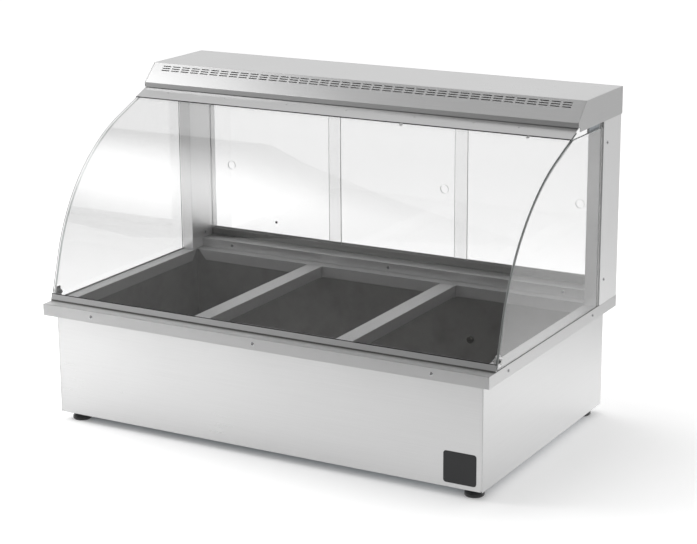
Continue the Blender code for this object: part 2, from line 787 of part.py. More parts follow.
def make_switch(name, finish, x):
    """A snap-in switch body with an open front pocket, and the rocker that tips in it."""
    half_x, half_z = SWITCH_WIDTH / 2, SWITCH_HEIGHT / 2
    rim = SWITCH_RIM
    front = PANEL_OUT + FIT + SWITCH_BEZEL
    back = front - SWITCH_BEZEL - SWITCH_DEPTH

    def build(bm):
        add_box(bm, (x - half_x, back, CONTROL_Z - half_z), (x + half_x, front, CONTROL_Z + half_z))

    def bezel(bm):
        wide = (half_x + rim, half_z + rim)
        low = (x - wide[0], PANEL_OUT + FIT, CONTROL_Z - wide[1])
        add_box(bm, low, (x + wide[0], front, CONTROL_Z + wide[1]))

    def pocket(bm):
        room = (half_x - rim, half_z - rim)
        low = (x - room[0], front - SWITCH_DEPTH / 2, CONTROL_Z - room[1])
        add_box(bm, low, (x + room[0], front + CUT_OVER, CONTROL_Z + room[1]))

    body = solid(name + "_switch", finish["black"], build)
    join(body, bezel)
    cut(body, pocket)

    pivot = Vector((x, PANEL_OUT + FIT, CONTROL_Z))
    reach = half_z - rim - 4 * FIT
    tip = reach - ROCKER_TAPER / 2
    heel = reach - ROCKER_TAPER
    section = [
        (-ROCKER_BACK, -heel),
        (ROCKER_WAIST, -reach),
        (ROCKER_PROUD, -tip),
        (ROCKER_CREST, 0),
        (ROCKER_PROUD, tip),
        (ROCKER_WAIST, reach),
        (-ROCKER_BACK, heel),
    ]
    lean = Matrix.Rotation(ROCKER_TILT, 2)
    outline = [tuple(lean @ Vector(p) + Vector((pivot.y, pivot.z))) for p in section]
    side = half_x - rim - FIT
    colour = finish["red"] if name == "power" else finish["black"]
    prism(name + "_rocker", colour, outline, "X", x - side, x + side, origin=pivot)


def make_terminal_block(finish):
    """A barrier strip on the floor pan, below the controls."""
    pan_top = FLOOR_Z + 2 * (SHEET + FIT)
    half = TERMINAL_LENGTH / 2
    y = PANEL_IN - TERMINAL_BACK
    x = -CONTROL_X
    way = TERMINAL_LENGTH / TERMINAL_WAYS
    low = pan_top + TERMINAL_SEAT
    high = pan_top + TERMINAL_HEIGHT
    tops = [(x - half, pan_top), (x + half, pan_top)]
    for i in range(TERMINAL_WAYS, -1, -1):
        edge = x - half + i * way
        right = min(edge + TERMINAL_BARRIER / 2, x + half)
        left = max(edge - TERMINAL_BARRIER / 2, x - half)
        if i < TERMINAL_WAYS:
            tops.append((right, low))
        tops += [(right, high), (left, high)]
        if i:
            tops.append((left, low))
    prism("terminal_block", finish["black"], tops, "Y", y - TERMINAL_WIDTH / 2, y + TERMINAL_WIDTH / 2)


def make_posts(finish):
    """Square-tube posts on the side rims, each with a rebate that the side glass ends in."""
    step = LIP_X - GLASS - 2 * FIT
    rebate_y = POST_FRONT_Y + POST_REBATE
    outline = [
        (POST_IN, POST_FRONT_Y),
        (step, POST_FRONT_Y),
        (step, rebate_y),
        (LIP_X, rebate_y),
        (LIP_X, POST_REAR),
        (POST_IN, POST_REAR),
    ]
    inside = offset_line(outline + outline[:2], POST_WALL)[1:-1]
    inside = [inside[-1]] + inside[:-1]
    low, high = DECK_Z + FIT, LIGHT_Z - SHEET - FIT
    for name, side in (("left", -1), ("right", 1)):
        loops = [[(side * x, y) for x, y in loop] for loop in (outline, inside)]
        solid("post_" + name, finish["steel"], lambda bm, pair=loops: add_tube(bm, pair, low, high))


def add_tube(bm, loops, low, high):
    """An open-ended tube along Z between two matching closed outlines."""
    rings = [[[bm.verts.new((x, y, z)) for x, y in loop] for z in (low, high)] for loop in loops]
    count = len(loops[0])
    faces = []
    for i in range(count):
        j = (i + 1) % count
        for ring in rings:
            faces.append(bm.faces.new((ring[0][i], ring[0][j], ring[1][j], ring[1][i])))
        for end in (0, 1):
            outer, inner = rings[0][end], rings[1][end]
            faces.append(bm.faces.new((outer[i], outer[j], inner[j], inner[i])))
    bmesh.ops.recalc_face_normals(bm, faces=faces)


def make_ledge(finish):
    """The raised ledge behind the well, between the posts, that carries the door track."""
    foot = DECK_Z + FIT
    line = [(POST_REAR, foot), (POST_REAR, LEDGE_TOP), (LEDGE_Y, LEDGE_TOP), (LEDGE_Y, foot)]
    prism("rear_ledge", finish["steel"], folded(line, SHEET), "X", -TRACK_X, TRACK_X)


def track_section(low, high, groove_from, groove_to):
    """Comb outline of a track: grooves open from groove_from to groove_to, in Y and Z."""
    opens_up = groove_to > groove_from
    line = [(TRACK_FRONT, low if opens_up else high), (TRACK_REAR, low if opens_up else high)]
    mouth = high if opens_up else low
    line.append((TRACK_REAR, mouth))
    for i in range(DOOR_COUNT):
        rear = TRACK_REAR - TRACK_WALL - i * (GROOVE + TRACK_WALL)
        front = rear - GROOVE
        line += [(rear, mouth), (rear, groove_from), (front, groove_from), (front, mouth)]
    line.append((TRACK_FRONT, mouth))
    return line


def make_tracks(finish):
    """Three-groove door tracks: shallow below, deep above so that a door can be lifted out."""
    top = TRACK_LOW_Z + TRACK_HEIGHT
    lower = track_section(TRACK_LOW_Z, top, TRACK_LOW_Z + TRACK_FLOOR, top)
    prism("door_track_lower", finish["black"], lower, "X", -TRACK_X, TRACK_X)
    roof = UPPER_TRACK_TOP - TRACK_FLOOR
    upper = track_section(UPPER_TRACK_LOW, UPPER_TRACK_TOP, roof, UPPER_TRACK_LOW)
    prism("door_track_upper", finish["black"], upper, "X", -TRACK_X, TRACK_X)


def make_doors(finish):
    """Clear sliding doors, one groove each, with a round finger hole near the closing edge."""
    hole_z = DECK_Z + FINGER_RISE
    for i, name in enumerate(ROW):
        x = row_x(i, DOOR_WIDTH - DOOR_OVERLAP)
        rear = TRACK_REAR - TRACK_WALL - (DOOR_COUNT - 1 - i) * (GROOVE + TRACK_WALL)
        y = rear - GROOVE / 2
        half = (DOOR_WIDTH / 2, DOOR_THICKNESS / 2)
        hand = -1 if i == 0 else 1
        hole_x = x + hand * (half[0] - FINGER_INSET)
        low = (x - half[0], y - half[1], DOOR_LOW)
        high = (x + half[0], y + half[1], DOOR_TOP)
        hole = shifted(disc(FINGER_RADIUS, 28), hole_x, hole_z)
        sill = (x, y, DOOR_LOW)
        door = solid("door_" + name, finish["glass"], lambda bm: add_box(bm, low, high), origin=sill)
        ends = (y - half[1] - CUT_OVER, y + half[1] + CUT_OVER)
        cut(door, lambda bm: add_prism(bm, hole, "Y", *ends))


def canopy_line():
    """Outer section of the hood in Y and Z, from the rear flange over the top to the lip."""
    return [
        (LIP_Y, CANOPY_TOP - CANOPY_REAR),
        (LIP_Y, CANOPY_TOP),
        (FASCIA_TOP_Y, CANOPY_TOP),
        (LIP_FACE_Y, LIP_TOP_Z),
        (LIP_FACE_Y, LIP_LOW_Z),
    ]


def make_canopy(finish):
    """The vented hood and its two end panels."""
    steel = finish["steel"]
    hood = prism("canopy_hood", steel, folded(canopy_line(), SHEET), "X", -HOOD_X, HOOD_X)
    cut(hood, add_vents)

    low = LIP_LOW_Z - END_SKIRT
    nose = LIP_FACE_Y + END_FRONT
    end = canopy_line()[1:] + [(nose, LIP_LOW_Z), (nose, low), (LIP_Y, low)]
    for name, side in (("left", -1), ("right", 1)):
        xs = sorted((side * (HOOD_X + FIT), side * END_X))
        prism("canopy_end_" + name, steel, end, "X", *xs)


def add_vents(bm):
    """Rows of short slots along the upper part of the sloped fascia."""
    slope = Vector((0, FASCIA_RUN, FASCIA_DROP)).normalized()
    facing = Vector((0, -slope.z, slope.y))
    crest = Vector((0, FASCIA_TOP_Y, CANOPY_TOP))
    along = Vector((1, 0, 0))
    reach = SHEET + CUT_OVER / 2
    pitch = 2 * (HOOD_X - VENT_MARGIN) / VENT_COLUMNS
    for row in range(VENT_ROWS):
        middle = crest - slope * (VENT_FROM_TOP + row * VENT_ROW_PITCH)
        for column in range(VENT_COLUMNS):
            x = (column - (VENT_COLUMNS - 1) / 2) * pitch
            frame = Matrix((along, slope, facing)).transposed().to_4x4()
            frame.translation = middle + along * x
            box = bmesh.ops.create_cube(bm, size=1.0)
            scale = Matrix.Diagonal((VENT_LENGTH, VENT_HEIGHT, 2 * reach, 1.0))
            bmesh.ops.transform(bm, matrix=frame @ scale, verts=box["verts"])


def glass_line():
    """Outer face of the front glass in Y and Z: a leaning straight, an arc and a flatter straight.

    The arc's radius is the one that brings the upper straight to the hood's lip.
    """
    foot = Vector((-LIP_Y + GLASS_SETBACK, DECK_Z + GLASS_LIFT))
    head = Vector((LIP_FACE_Y - GLASS_HEAD_AHEAD, LIP_LOW_Z - GLASS_HEAD_DROP))
    start = foot + heading(GLASS_LEAN) * GLASS_LOWER_RUN
    spoke, last_spoke = normal(GLASS_LEAN), normal(GLASS_HEAD_LEAN)
    chord = last_spoke - spoke
    run = heading(GLASS_HEAD_LEAN)
    span = head - start
    radius = (span.x * run.y - span.y * run.x) / (chord.x * run.y - chord.y * run.x)
    centre = start - spoke * radius
    points = [tuple(foot)]
    for i in range(GLASS_STEPS + 1):
        angle = GLASS_LEAN + (GLASS_HEAD_LEAN - GLASS_LEAN) * i / GLASS_STEPS
        points.append(tuple(centre + normal(angle) * radius))
    return points + [tuple(head)]


def heading(lean):
    """Direction in Y and Z of a line that leans back from upright by an angle."""
    return Vector((math.sin(lean), math.cos(lean)))


def normal(lean):
    """Direction in Y and Z that the outer face of a leaning glass looks in."""
    return Vector((-math.cos(lean), math.sin(lean)))


def strip_line():
    """Under face of the strip that holds the glass, and its flange behind the hood's lip."""
    face = offset_line(glass_line(), FIT)
    head = Vector(face[-1])
    run = heading(GLASS_HEAD_LEAN)
    flange_y = LIP_FACE_Y + 2 * SHEET + FIT
    turn = head + run * ((flange_y - head.x) / run.x)
    low = turn - run * STRIP_LENGTH
    return [tuple(low), tuple(turn), (flange_y, LIP_TOP_Z - SHEET)]


def make_light_pan(finish):
    """The ceiling under the hood with its ends turned down, and the strip over the glass's head."""
    under = LIGHT_Z - SHEET
    low = under - LIGHT_FLANGE
    behind_fascia = SHEET * math.hypot(FASCIA_RUN, FASCIA_DROP) / FASCIA_DROP + FIT
    front = LIP_FACE_Y + (LIGHT_Z - LIP_TOP_Z) * FASCIA_RUN / FASCIA_DROP + behind_fascia
    x = GLASS_IN - FIT - SHEET
    bend_from = LIP_FACE_Y + LIGHT_FLANGE_BACK
    bend_to = POST_FRONT_Y - FIT
    rim = [(-x, front), (x, front), (x, bend_from), (x, bend_to)]
    rim += [(x, POST_REAR), (-x, POST_REAR), (-x, bend_to), (-x, bend_from)]
    faces = [([(a, b, under) for a, b in rim], (0, 0, -1))]
    for side in (-1, 1):
        ends = ((bend_from, under), (bend_to, under), (bend_to, low), (bend_from, low))
        faces.append(([(side * x, y, z) for y, z in ends], (-side, 0, 0)))
    sheet_metal("light_pan", finish["galvanised"], faces)
    prism("glass_strip", finish["steel"], folded(strip_line(), SHEET), "X", -LIP_X, LIP_X)


def make_lamps(finish):
    """Linear heat lamps in brackets under the light pan, one over each pan."""
    top = LIGHT_Z - SHEET - FIT
    y = (LIP_FACE_Y + TRACK_FRONT) / 2
    z = top - LAMP_DROP
    end = LAMP_LENGTH / 2
    waist = end - LAMP_CAP_LENGTH
    tube = [
        (0, -end),
        (LAMP_CAP, -end),
        (LAMP_CAP, -waist),
        (LAMP_RADIUS, -waist),
        (LAMP_RADIUS, waist),
        (LAMP_CAP, waist),
        (LAMP_CAP, end),
        (0, end),
    ]
    half = (end - LAMP_CAP_LENGTH / 2, LAMP_BRACKET_WIDTH / 2)
    drops = (LAMP_BRACKET_DROP, 0, LAMP_BRACKET_DROP, 0)
    eye = shifted(disc(LAMP_CAP + FIT, 16), y, z)
    along, across, up = (1, 0, 0), (0, 1, 0), (0, 0, 1)
    for i, name in enumerate(ROW):
        x = row_x(i, DIVIDER_PITCH)
        clip = finish["galvanised"]
        bracket = panel("lamp_bracket_" + name, clip, (x, y, top), along, across, up, half, drops)
        cut(bracket, lambda bm: add_prism(bm, eye, "X", x - end, x + end))
        turned("lamp_" + name, finish["lamp"], tube, "X", (x, y, z), sides=16)


def clipped(line, low, high):
    """A rising Y and Z polyline between two heights, its end stretches cut or lengthened to them."""
    spans = list(zip(line, line[1:]))

    def at(height):
        (y0, z0), (y1, z1) = next((s for s in spans if height <= s[1][1]), spans[-1])
        return (y0 + (y1 - y0) * (height - z0) / (z1 - z0), height)

    return [at(low)] + [p for p in line if low < p[1] < high] + [at(high)]


def make_glass(finish):
    """The bent front glass, the two side glasses and the strips that the side glasses stand on."""
    front = folded(glass_line(), -GLASS)
    prism("front_glass", finish["glass"], front, "X", -LIP_X, LIP_X, smooth=math.radians(20))

    low = DECK_Z + GASKET + 2 * FIT
    edge = clipped(offset_line(glass_line(), -GLASS - SIDE_SETBACK), low, DECK_Z + SIDE_TOP)
    rear = POST_FRONT_Y + POST_REBATE - POST_SEAM
    outline = edge + [(rear, DECK_Z + SIDE_TOP), (rear, low)]
    hole = shifted(disc(BOLT_RADIUS + FIT, 16), BOLT_Y, BOLT_Z)
    for name, side in (("left", -1), ("right", 1)):
        xs = sorted((side * GLASS_IN, side * LIP_X))
        pane = prism("side_glass_" + name, finish["glass"], outline, "X", *xs)
        cut(pane, lambda bm: add_prism(bm, hole, "X", xs[0] - CUT_OVER, xs[1] + CUT_OVER))
        strip_low = (xs[0], edge[0][0], DECK_Z + FIT)
        strip_high = (xs[1], rear, DECK_Z + FIT + GASKET)
        solid("side_gasket_" + name, finish["rubber"], lambda bm: add_box(bm, strip_low, strip_high))


def make_rail(finish):
    """The channel along the foot of the front glass, its two bolted ears and the strip below it."""
    foot, above = (Vector(p) for p in glass_line()[:2])
    up = (above - foot).normalized()
    out = Vector((-up.y, up.x))
    ahead = foot + out * FIT
    behind = foot - out * (GLASS + FIT)
    line = [ahead + up * RAIL_LEG, ahead - up * FIT, behind - up * FIT, behind + up * RAIL_LEG]
    section = folded([tuple(p) for p in line], -RAIL_WALL)
    rail = prism("front_rail", finish["steel"], section, "X", -LIP_X, LIP_X)

    root = behind - out * (RAIL_WALL / 2)
    head = root + up * EAR_HEIGHT
    heel = (root.x + EAR_REACH, DECK_Z + GLASS_LIFT)
    crown = (head.x + EAR_REACH / 2, head.y)
    ear = [tuple(root + up * RAIL_WALL), heel, (heel[0], BOLT_Z), crown, tuple(head)]
    inner = GLASS_IN - FIT - EAR_WALL
    hole = shifted(disc(BOLT_RADIUS + FIT, 16), BOLT_Y, BOLT_Z)

    def add_ears(bm):
        for side in (-1, 1):
            add_prism(bm, ear, "X", *sorted((side * inner, side * (inner + EAR_WALL))))

    def add_ear_holes(bm):
        for side in (-1, 1):
            ends = (side * (inner - CUT_OVER), side * (GLASS_IN + CUT_OVER))
            add_prism(bm, hole, "X", *sorted(ends))

    join(rail, add_ears)
    cut(rail, add_ear_holes)
    seat = DECK_Z + FIT
    below = FIT + RAIL_WALL
    front = foot + out * below - up * (below + FIT)
    rear = foot - out * (GLASS + below) - up * (below + FIT)
    strip = [(front.x, seat), (rear.x, seat), tuple(rear), tuple(front)]
    prism("rail_gasket", finish["rubber"], strip, "X", -LIP_X, LIP_X)
    make_bolts(finish, inner)


def make_bolts(finish, inner):
    """A bolt through each side glass and rail ear, with a nut inside."""
    head = LIP_X + FIT
    nut = inner - FIT
    tip = nut - NUT_THICK - BOLT_RADIUS
    bolt = [
        (0, tip),
        (BOLT_RADIUS, tip),
        (BOLT_RADIUS, head),
        (BOLT_HEAD, head),
        (BOLT_HEAD, head + BOLT_HEAD_THICK / 2),
        (BOLT_HEAD * 0.7, head + BOLT_HEAD_THICK),
        (0, head + BOLT_HEAD_THICK),
    ]
    zinc = finish["zinc"]
    flats = shifted(disc(NUT_RADIUS, 6), BOLT_Y, BOLT_Z)
    bore = shifted(disc(BOLT_RADIUS + FIT, 16), BOLT_Y, BOLT_Z)
    for name, side in (("left", -1), ("right", 1)):
        profile = [(r, side * h) for r, h in bolt]
        turned("rail_bolt_" + name, zinc, profile, "X", (0, BOLT_Y, BOLT_Z), sides=16)
        ends = sorted((side * nut, side * (nut - NUT_THICK)))
        made = prism("rail_nut_" + name, zinc, flats, "X", *ends)
        cut(made, lambda bm: add_prism(bm, bore, "X", ends[0] - CUT_OVER, ends[1] + CUT_OVER))


def main():
    clear_scene()
    finish = make_finishes()
    make_base(finish)
    make_feet(finish)
    make_deck(finish)
    make_well(finish)
    make_heaters(finish)
    make_rear_panel(finish)
    make_controls(finish)
    make_posts(finish)
    make_ledge(finish)
    make_tracks(finish)
    make_doors(finish)
    make_canopy(finish)
    make_light_pan(finish)
    make_lamps(finish)
    make_glass(finish)
    make_rail(finish)


main()
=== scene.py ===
"""Looks of a countertop heated food case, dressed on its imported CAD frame.

Laid out as a Blender add-on and run as a script. Units are metres, +Z is up and the front is -Y.
"""

import math

import bpy
import numpy as np
from bpy.props import FloatProperty, FloatVectorProperty, PointerProperty
from mathutils import Matrix, Vector


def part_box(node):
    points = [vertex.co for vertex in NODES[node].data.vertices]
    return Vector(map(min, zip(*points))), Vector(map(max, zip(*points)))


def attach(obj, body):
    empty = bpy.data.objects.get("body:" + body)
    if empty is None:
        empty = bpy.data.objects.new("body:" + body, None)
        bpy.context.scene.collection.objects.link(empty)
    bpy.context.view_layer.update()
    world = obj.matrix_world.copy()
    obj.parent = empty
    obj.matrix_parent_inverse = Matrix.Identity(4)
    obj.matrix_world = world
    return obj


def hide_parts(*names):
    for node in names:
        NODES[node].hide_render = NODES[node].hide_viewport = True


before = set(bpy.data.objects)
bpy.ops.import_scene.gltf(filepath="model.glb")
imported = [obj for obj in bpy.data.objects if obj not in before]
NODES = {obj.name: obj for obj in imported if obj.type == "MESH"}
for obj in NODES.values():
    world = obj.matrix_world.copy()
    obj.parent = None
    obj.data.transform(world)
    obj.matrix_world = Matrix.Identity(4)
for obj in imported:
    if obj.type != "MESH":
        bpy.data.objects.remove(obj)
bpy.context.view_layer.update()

bl_info = {
    "name": "Heated food case",
    "version": (1, 0, 0),
    "blender": (4, 5, 0),
    "location": "View3D > Sidebar > Food case",
    "description": "Dresses the packed heated food case with its finishes, fittings and stage",
    "category": "Object",
}

CABINET = "cabinet"
SIDES = (("left", -1), ("right", 1))
ROW = ("left", "middle", "right")
CORNERS = ("front_left", "front_right", "rear_left", "rear_right")

# The photograph's frame in pixels and the camera that was fitted to it
IMAGE_WIDTH = 697
FOCAL_PIXELS = 1967.13
SENSOR_MM = 36
CAMERA_PLACE = (2.0444, -3.5467, 1.4555)
CAMERA_YAW = math.radians(29.42)
CAMERA_PITCH = math.radians(15.401)
CAMERA_ROLL = math.radians(-0.412)


def linear(code):
    """Linear RGBA of an sRGB hex colour, by the sRGB curve."""
    parts = [int(code[i : i + 2], 16) / 255 for i in (1, 3, 5)]
    curve = [c / 12.92 if c <= 0.04045 else ((c + 0.055) / 1.055) ** 2.4 for c in parts]
    return (*curve, 1.0)


def length(name, description, default):
    return FloatProperty(name=name, description=description, default=default, min=0, unit="LENGTH")


def colour(name, description, code):
    return FloatVectorProperty(
        name=name, description=description, default=linear(code), size=4, min=0, max=1, subtype="COLOR"
    )


def factor(name, description, default):
    return FloatProperty(name=name, description=description, default=default, min=0, subtype="FACTOR")


def power(name, description, default):
    return FloatProperty(name=name, description=description, default=default, min=0, unit="POWER")


class FoodCaseSizes(bpy.types.PropertyGroup):
    """Sizes of the fittings that the scene adds to the CAD frame."""

    glass: length("Glass thickness", "Thickness of the bent front glass", 0.005)
    glass_round: length("Glass end round", "Rounding of the bent glass's ends", 0.0012)
    screw_radius: length("Screw head radius", "Radius of the pan heads", 0.0042)
    screw_height: length("Screw head height", "How far the pan heads stand proud", 0.0014)
    lip_screw_height: length("Lip screw height", "How far the low heads on the lip stand proud", 0.0008)
    rivet_radius: length("Rivet radius", "Radius of the rivets on the glass strip", 0.0021)
    rivet_height: length("Rivet height", "How far a rivet stands proud", 0.0006)
    bead: length("Bead width", "Width of the seals beside the glass", 0.0024)
    plate_width: length("Plate width", "Width of the plain plate on the front", 0.072)
    plate_height: length("Plate height", "Height of the plain plate on the front", 0.066)
    plate_thick: length("Plate thickness", "Thickness of the plain plate", 0.0008)
    print_height: length("Print height", "Height of the figures on the operator's panel", 0.0060)
    print_thick: length("Print thickness", "Thickness of the printed ink", 0.0002)


class FoodCaseColours(bpy.types.PropertyGroup):
    """Colours and surface values of the finishes."""

    stainless: colour("Stainless", "Brushed stainless sheet", "#D1D1D1")
    stainless_dark: colour("Stainless grain", "Darker grain of the brushed sheet", "#C9C9C9")
    well: colour("Well", "Satin stainless of the well", "#A9A8A7")
    well_stain: colour("Well stain", "Heat and water stains in the well", "#989795")
    galvanised: colour("Galvanised", "Zinc-coated sheet", "#B4B8BB")
    galvanised_dark: colour("Galvanised spangle", "Darker crystals of the zinc coat", "#9DA3A8")
    zinc: colour("Zinc plate", "Bright zinc plate on the fasteners", "#C9CACB")
    polished_zinc: colour("Polished zinc", "Bolts and nuts of the channel", "#B4B4B3")
    steamed_zinc: colour("Steamed zinc", "Gland in the well", "#77766F")
    worn_rubber: colour("Worn rubber", "Gaskets under the glass", "#767674")
    # Painted shade: this colour darkens the screw heads' cross recesses and rims
    track: colour("Tracks", "Extruded door tracks", "#8A8A88")
    grime: colour("Grime", "Dirt left in the screws", "#3A3937")
    glass: colour("Glass", "Tint of the clear glass", "#ECECEC")
    door_glass: colour("Door glass", "Tint of the clear doors", "#F8F8F8")
    ground_edge: colour("Ground edge", "Ground right end of the bent glass", "#808684")
    seamed_edge: colour("Seamed edge", "Seamed edges of the sides and doors", "#DDE0DF")
    edge_through: factor("Light in edges", "Share of light that comes through a ground edge", 0.6)
    rubber: colour("Rubber", "Seals and feet", "#19191A")
    plastic: colour("Plastic", "Knob, switches and gland", "#2A2B2D")
    red: colour("Red plastic", "Pilot lens and power rocker", "#B3201A")
    ceramic: colour("Ceramic", "Steatite parts", "#E4DFD2")
    sheath: colour("Heater sheath", "Oxidised sheath of the heaters", "#57514D")
    quartz: colour("Lamp tube", "Frosted quartz of the heat lamps", "#EFE8DC")
    plate: colour("Plate", "Lacquer of the plain plate", "#1D1E20")
    ink: colour("Ink", "Print on the operator's panel", "#2A2B2D")
    pointer: colour("Pointer", "Line on the knob", "#ECEBE6")
    grain_width: length("Grain width", "Width of a brushing streak as drawn", 0.0022)
    grain_length: length("Grain length", "Length of a brushing streak as drawn", 0.140)
    sheet_roughness: factor("Sheet roughness", "Roughness of the brushed sheet", 0.30)
    sheet_metal: factor("Sheet metallic", "Mirror share of the sheet; the rest is its broad sheen", 0.88)
    sheet_grain: factor("Sheet grain", "Anisotropy of the brushed sheet", 0.55)


class FoodCaseStage(bpy.types.PropertyGroup):
    """The floor, the lamps and the white surroundings."""

    floor_reach: length("Floor reach", "How far the floor runs to the sides and behind", 7.0)
    floor_front: length("Floor front", "How far the floor runs ahead of the case's middle", 1.12)
    floor: colour("Floor", "Colour of the floor", "#EAEAEA")
    floor_glow: factor("Floor glow", "How far the floor at the case is lifted to white", 0.39)
    floor_glass: factor("Floor in glass", "Share of that lift which shows through glass", 0.6)
    floor_far: factor("Far floor", "How far the far floor is lifted to white", 0.56)
    floor_mirror: factor("Floor in metal", "How far the floor is lifted to white for metal", 0.36)
    key_strength: factor("Key", "Brightness of the soft card at the left", 3.8)
    top_power: power("Top lamp", "Power of the overhead lamp", 26)
    side_pool: factor("Side pool", "Extra lift of the floor at the right, for metal", 0.44)
    pool_power: power("Floor lamp", "Power of the lamp over the floor", 9)
    studio_back: factor("Backdrop", "Brightness of the white backdrop behind the case", 0.86)
    studio_front: factor("Studio", "Brightness of the studio in front of the case", 0.12)
    studio_inside: factor("Front in glass", "Brightness of that front as metal behind glass sees it", 0.70)
    studio_left: factor("Left wall", "Brightness of the studio's left wall", 1.0)
    studio_top: factor("Ceiling", "Brightness of the studio's ceiling", 0.58)


def sizes():
    return bpy.context.scene.food_case_sizes


def colours():
    return bpy.context.scene.food_case_colours


def stage():
    return bpy.context.scene.food_case_stage


# Shapes


def ring_faces(rings, sectors):
    """Faces of rings of equal length that are joined in turn, and closed by a point at each end.

    Vertices are ordered first point, rings, last point. Each ring runs anticlockwise about the path.
    """
    k, s = np.meshgrid(np.arange(rings - 1), np.arange(sectors), indexing="ij")
    t = (s + 1) % sectors
    low, high = 1 + k * sectors, 1 + (k + 1) * sectors
    quads = np.stack([low + s, low + t, high + t, high + s], -1).reshape(-1, 4)
    around = np.arange(sectors)
    after = (around + 1) % sectors
    last_ring = 1 + (rings - 1) * sectors
    start = np.stack([np.zeros(sectors, int), 1 + after, 1 + around], -1)
    end_point = np.full(sectors, 1 + rings * sectors)
    end = np.stack([last_ring + around, last_ring + after, end_point], -1)
    return quads.tolist() + start.tolist() + end.tolist()


def closed_rings(rings):
    """A closed skin over an array of rings (count, sectors, 3), each end closed at its ring's middle."""
    ends = rings[[0, -1]].mean(1)
    points = np.concatenate([ends[:1], rings.reshape(-1, 3), ends[1:]])
    return points, ring_faces(rings.shape[0], rings.shape[1])


def turned(profile, sectors):
    """A profile of (radius, height) rows turned about +Z: x = r cos a, y = r sin a, z = height."""
    profile = np.asarray(profile, float)
    angle = np.linspace(0, 2 * math.pi, sectors, endpoint=False)
    x = profile[:, :1] * np.cos(angle)
    y = profile[:, :1] * np.sin(angle)
    z = np.broadcast_to(profile[:, 1:], x.shape)
    return closed_rings(np.stack([x, y, z], -1))


def rounded_outline(width, height, radius, steps=7):
    """Rounded rectangle about the origin: quarter circles about four inset corners, anticlockwise."""
    corner = np.array([[1, 1], [-1, 1], [-1, -1], [1, -1]], float)
    corner *= np.array([width / 2 - radius, height / 2 - radius])
    turn = np.linspace(0, math.pi / 2, steps)
    turns = turn[None] + np.arange(4)[:, None] * math.pi / 2
    arcs = radius * np.stack([np.cos(turns), np.sin(turns)], -1)
    return (corner[:, None] + arcs).reshape(-1, 2)


def pad(width, height, thick, radius, round_over, sink=0.0004):
    """A plate with rounded corners and edges, its outline repeated at rising heights and inset on top.

    The last two outlines lie at one height, so that the flat face shades as a flat one.
    """
    insets = np.array([0, 0, 0.3, 1, 2]) * round_over
    levels = np.array([-sink, thick - round_over, thick - 0.3 * round_over, thick, thick])
    loops = [rounded_outline(width - 2 * i, height - 2 * i, radius - i / 2) for i in insets]
    rings = [np.column_stack([loop, np.full(len(loop), z)]) for loop, z in zip(loops, levels)]
    return closed_rings(np.stack(rings))


def pan_head(radius, height):
    """A pan head with a cross recess, as a height over (radius, angle).

    The dome is height * (1 - (r / R) ** 4), less a cross of two crossed slots with sloping sides.
    """
    share = np.array([1, 1, 0.96, 0.86, 0.74, 0.64, 0.54, 0.44, 0.34, 0.24, 0.14, 0.05])
    angle = np.linspace(0, 2 * math.pi, 40, endpoint=False)
    r, a = np.meshgrid(share * radius, angle, indexing="ij")
    x, y = r * np.cos(a), r * np.sin(a)
    dome = height * (1 - (r / radius) ** 4)
    arm, half, slope = 0.66 * radius, 0.15 * radius, 0.12 * radius
    across = np.clip((half - np.abs(x)) / slope + 1, 0, 1) * np.clip((arm - np.abs(y)) / slope, 0, 1)
    along = np.clip((half - np.abs(y)) / slope + 1, 0, 1) * np.clip((arm - np.abs(x)) / slope, 0, 1)
    z = dome - 0.75 * height * np.maximum(across, along)
    z[0] = -0.0004
    return closed_rings(np.stack([x, y, z], -1))


def recess_painted_shade(points, radius):
    """How much painted shade a pan head gets at its points: most in the cross and some at the rim, by the
    head's formula.
    """
    x, y = points[:, 0], points[:, 1]
    r = np.hypot(x, y)
    arm, half = 0.62 * radius, 0.2 * radius
    cross = (np.minimum(np.abs(x), np.abs(y)) < half) & (np.maximum(np.abs(x), np.abs(y)) < arm)
    return np.maximum(0.8 * cross, 0.35 * (r > 0.98 * radius)).astype(np.float32)


def rivet_head(radius, height):
    """A low dome: height * cos(share of a right angle) over the radius."""
    share = np.linspace(1, 0.1, 5)
    dome = np.column_stack([share * radius, height * np.cos(share * math.pi / 2)])
    return turned(np.vstack([[radius, -0.0003], dome]), 14)


def bar(section, low, high, along):
    """A closed section (points in the two other axes, in XYZ order) carried straight along one axis."""
    order = {"X": (2, 0, 1), "Y": (0, 2, 1), "Z": (0, 1, 2)}[along]
    section = np.asarray(section, float)
    rings = [np.column_stack([section, np.full(len(section), at)]) for at in (low, high)]
    points, faces = closed_rings(np.stack(rings)[:, :, list(order)])
    return (points, faces) if along != "Y" else (points, [face[::-1] for face in faces])


def oval(a, b, centre, count=12):
    """An ellipse of half axes a and b about a centre, anticlockwise."""
    angle = np.linspace(0, 2 * math.pi, count, endpoint=False)
    return np.column_stack([centre[0] + a * np.cos(angle), centre[1] + b * np.sin(angle)])


def facing(points, place, look, twist=0.0):
    """Points turned so that their +Z looks along a direction, and then moved to a place."""
    turn = Vector(look).to_track_quat("Z", "Y").to_matrix() @ Matrix.Rotation(twist, 3, "Z")
    return points @ np.array(turn).T + np.asarray(place, float)


def many(shape, spots):
    """Copies of a (points, faces) shape at (place, look, twist) spots, as one set of points and faces."""
    points, faces = shape
    moved = [facing(points, *spot) for spot in spots]
    shifted = [[i + k * len(points) for i in face] for k in range(len(spots)) for face in faces]
    return np.concatenate(moved), shifted


def joined(*shapes):
    """Several (points, faces) shapes as one."""
    starts = np.cumsum([0] + [len(points) for points, _ in shapes[:-1]])
    faces = [[i + int(start) for i in face] for start, (_, fs) in zip(starts, shapes) for face in fs]
    return np.concatenate([points for points, _ in shapes]), faces


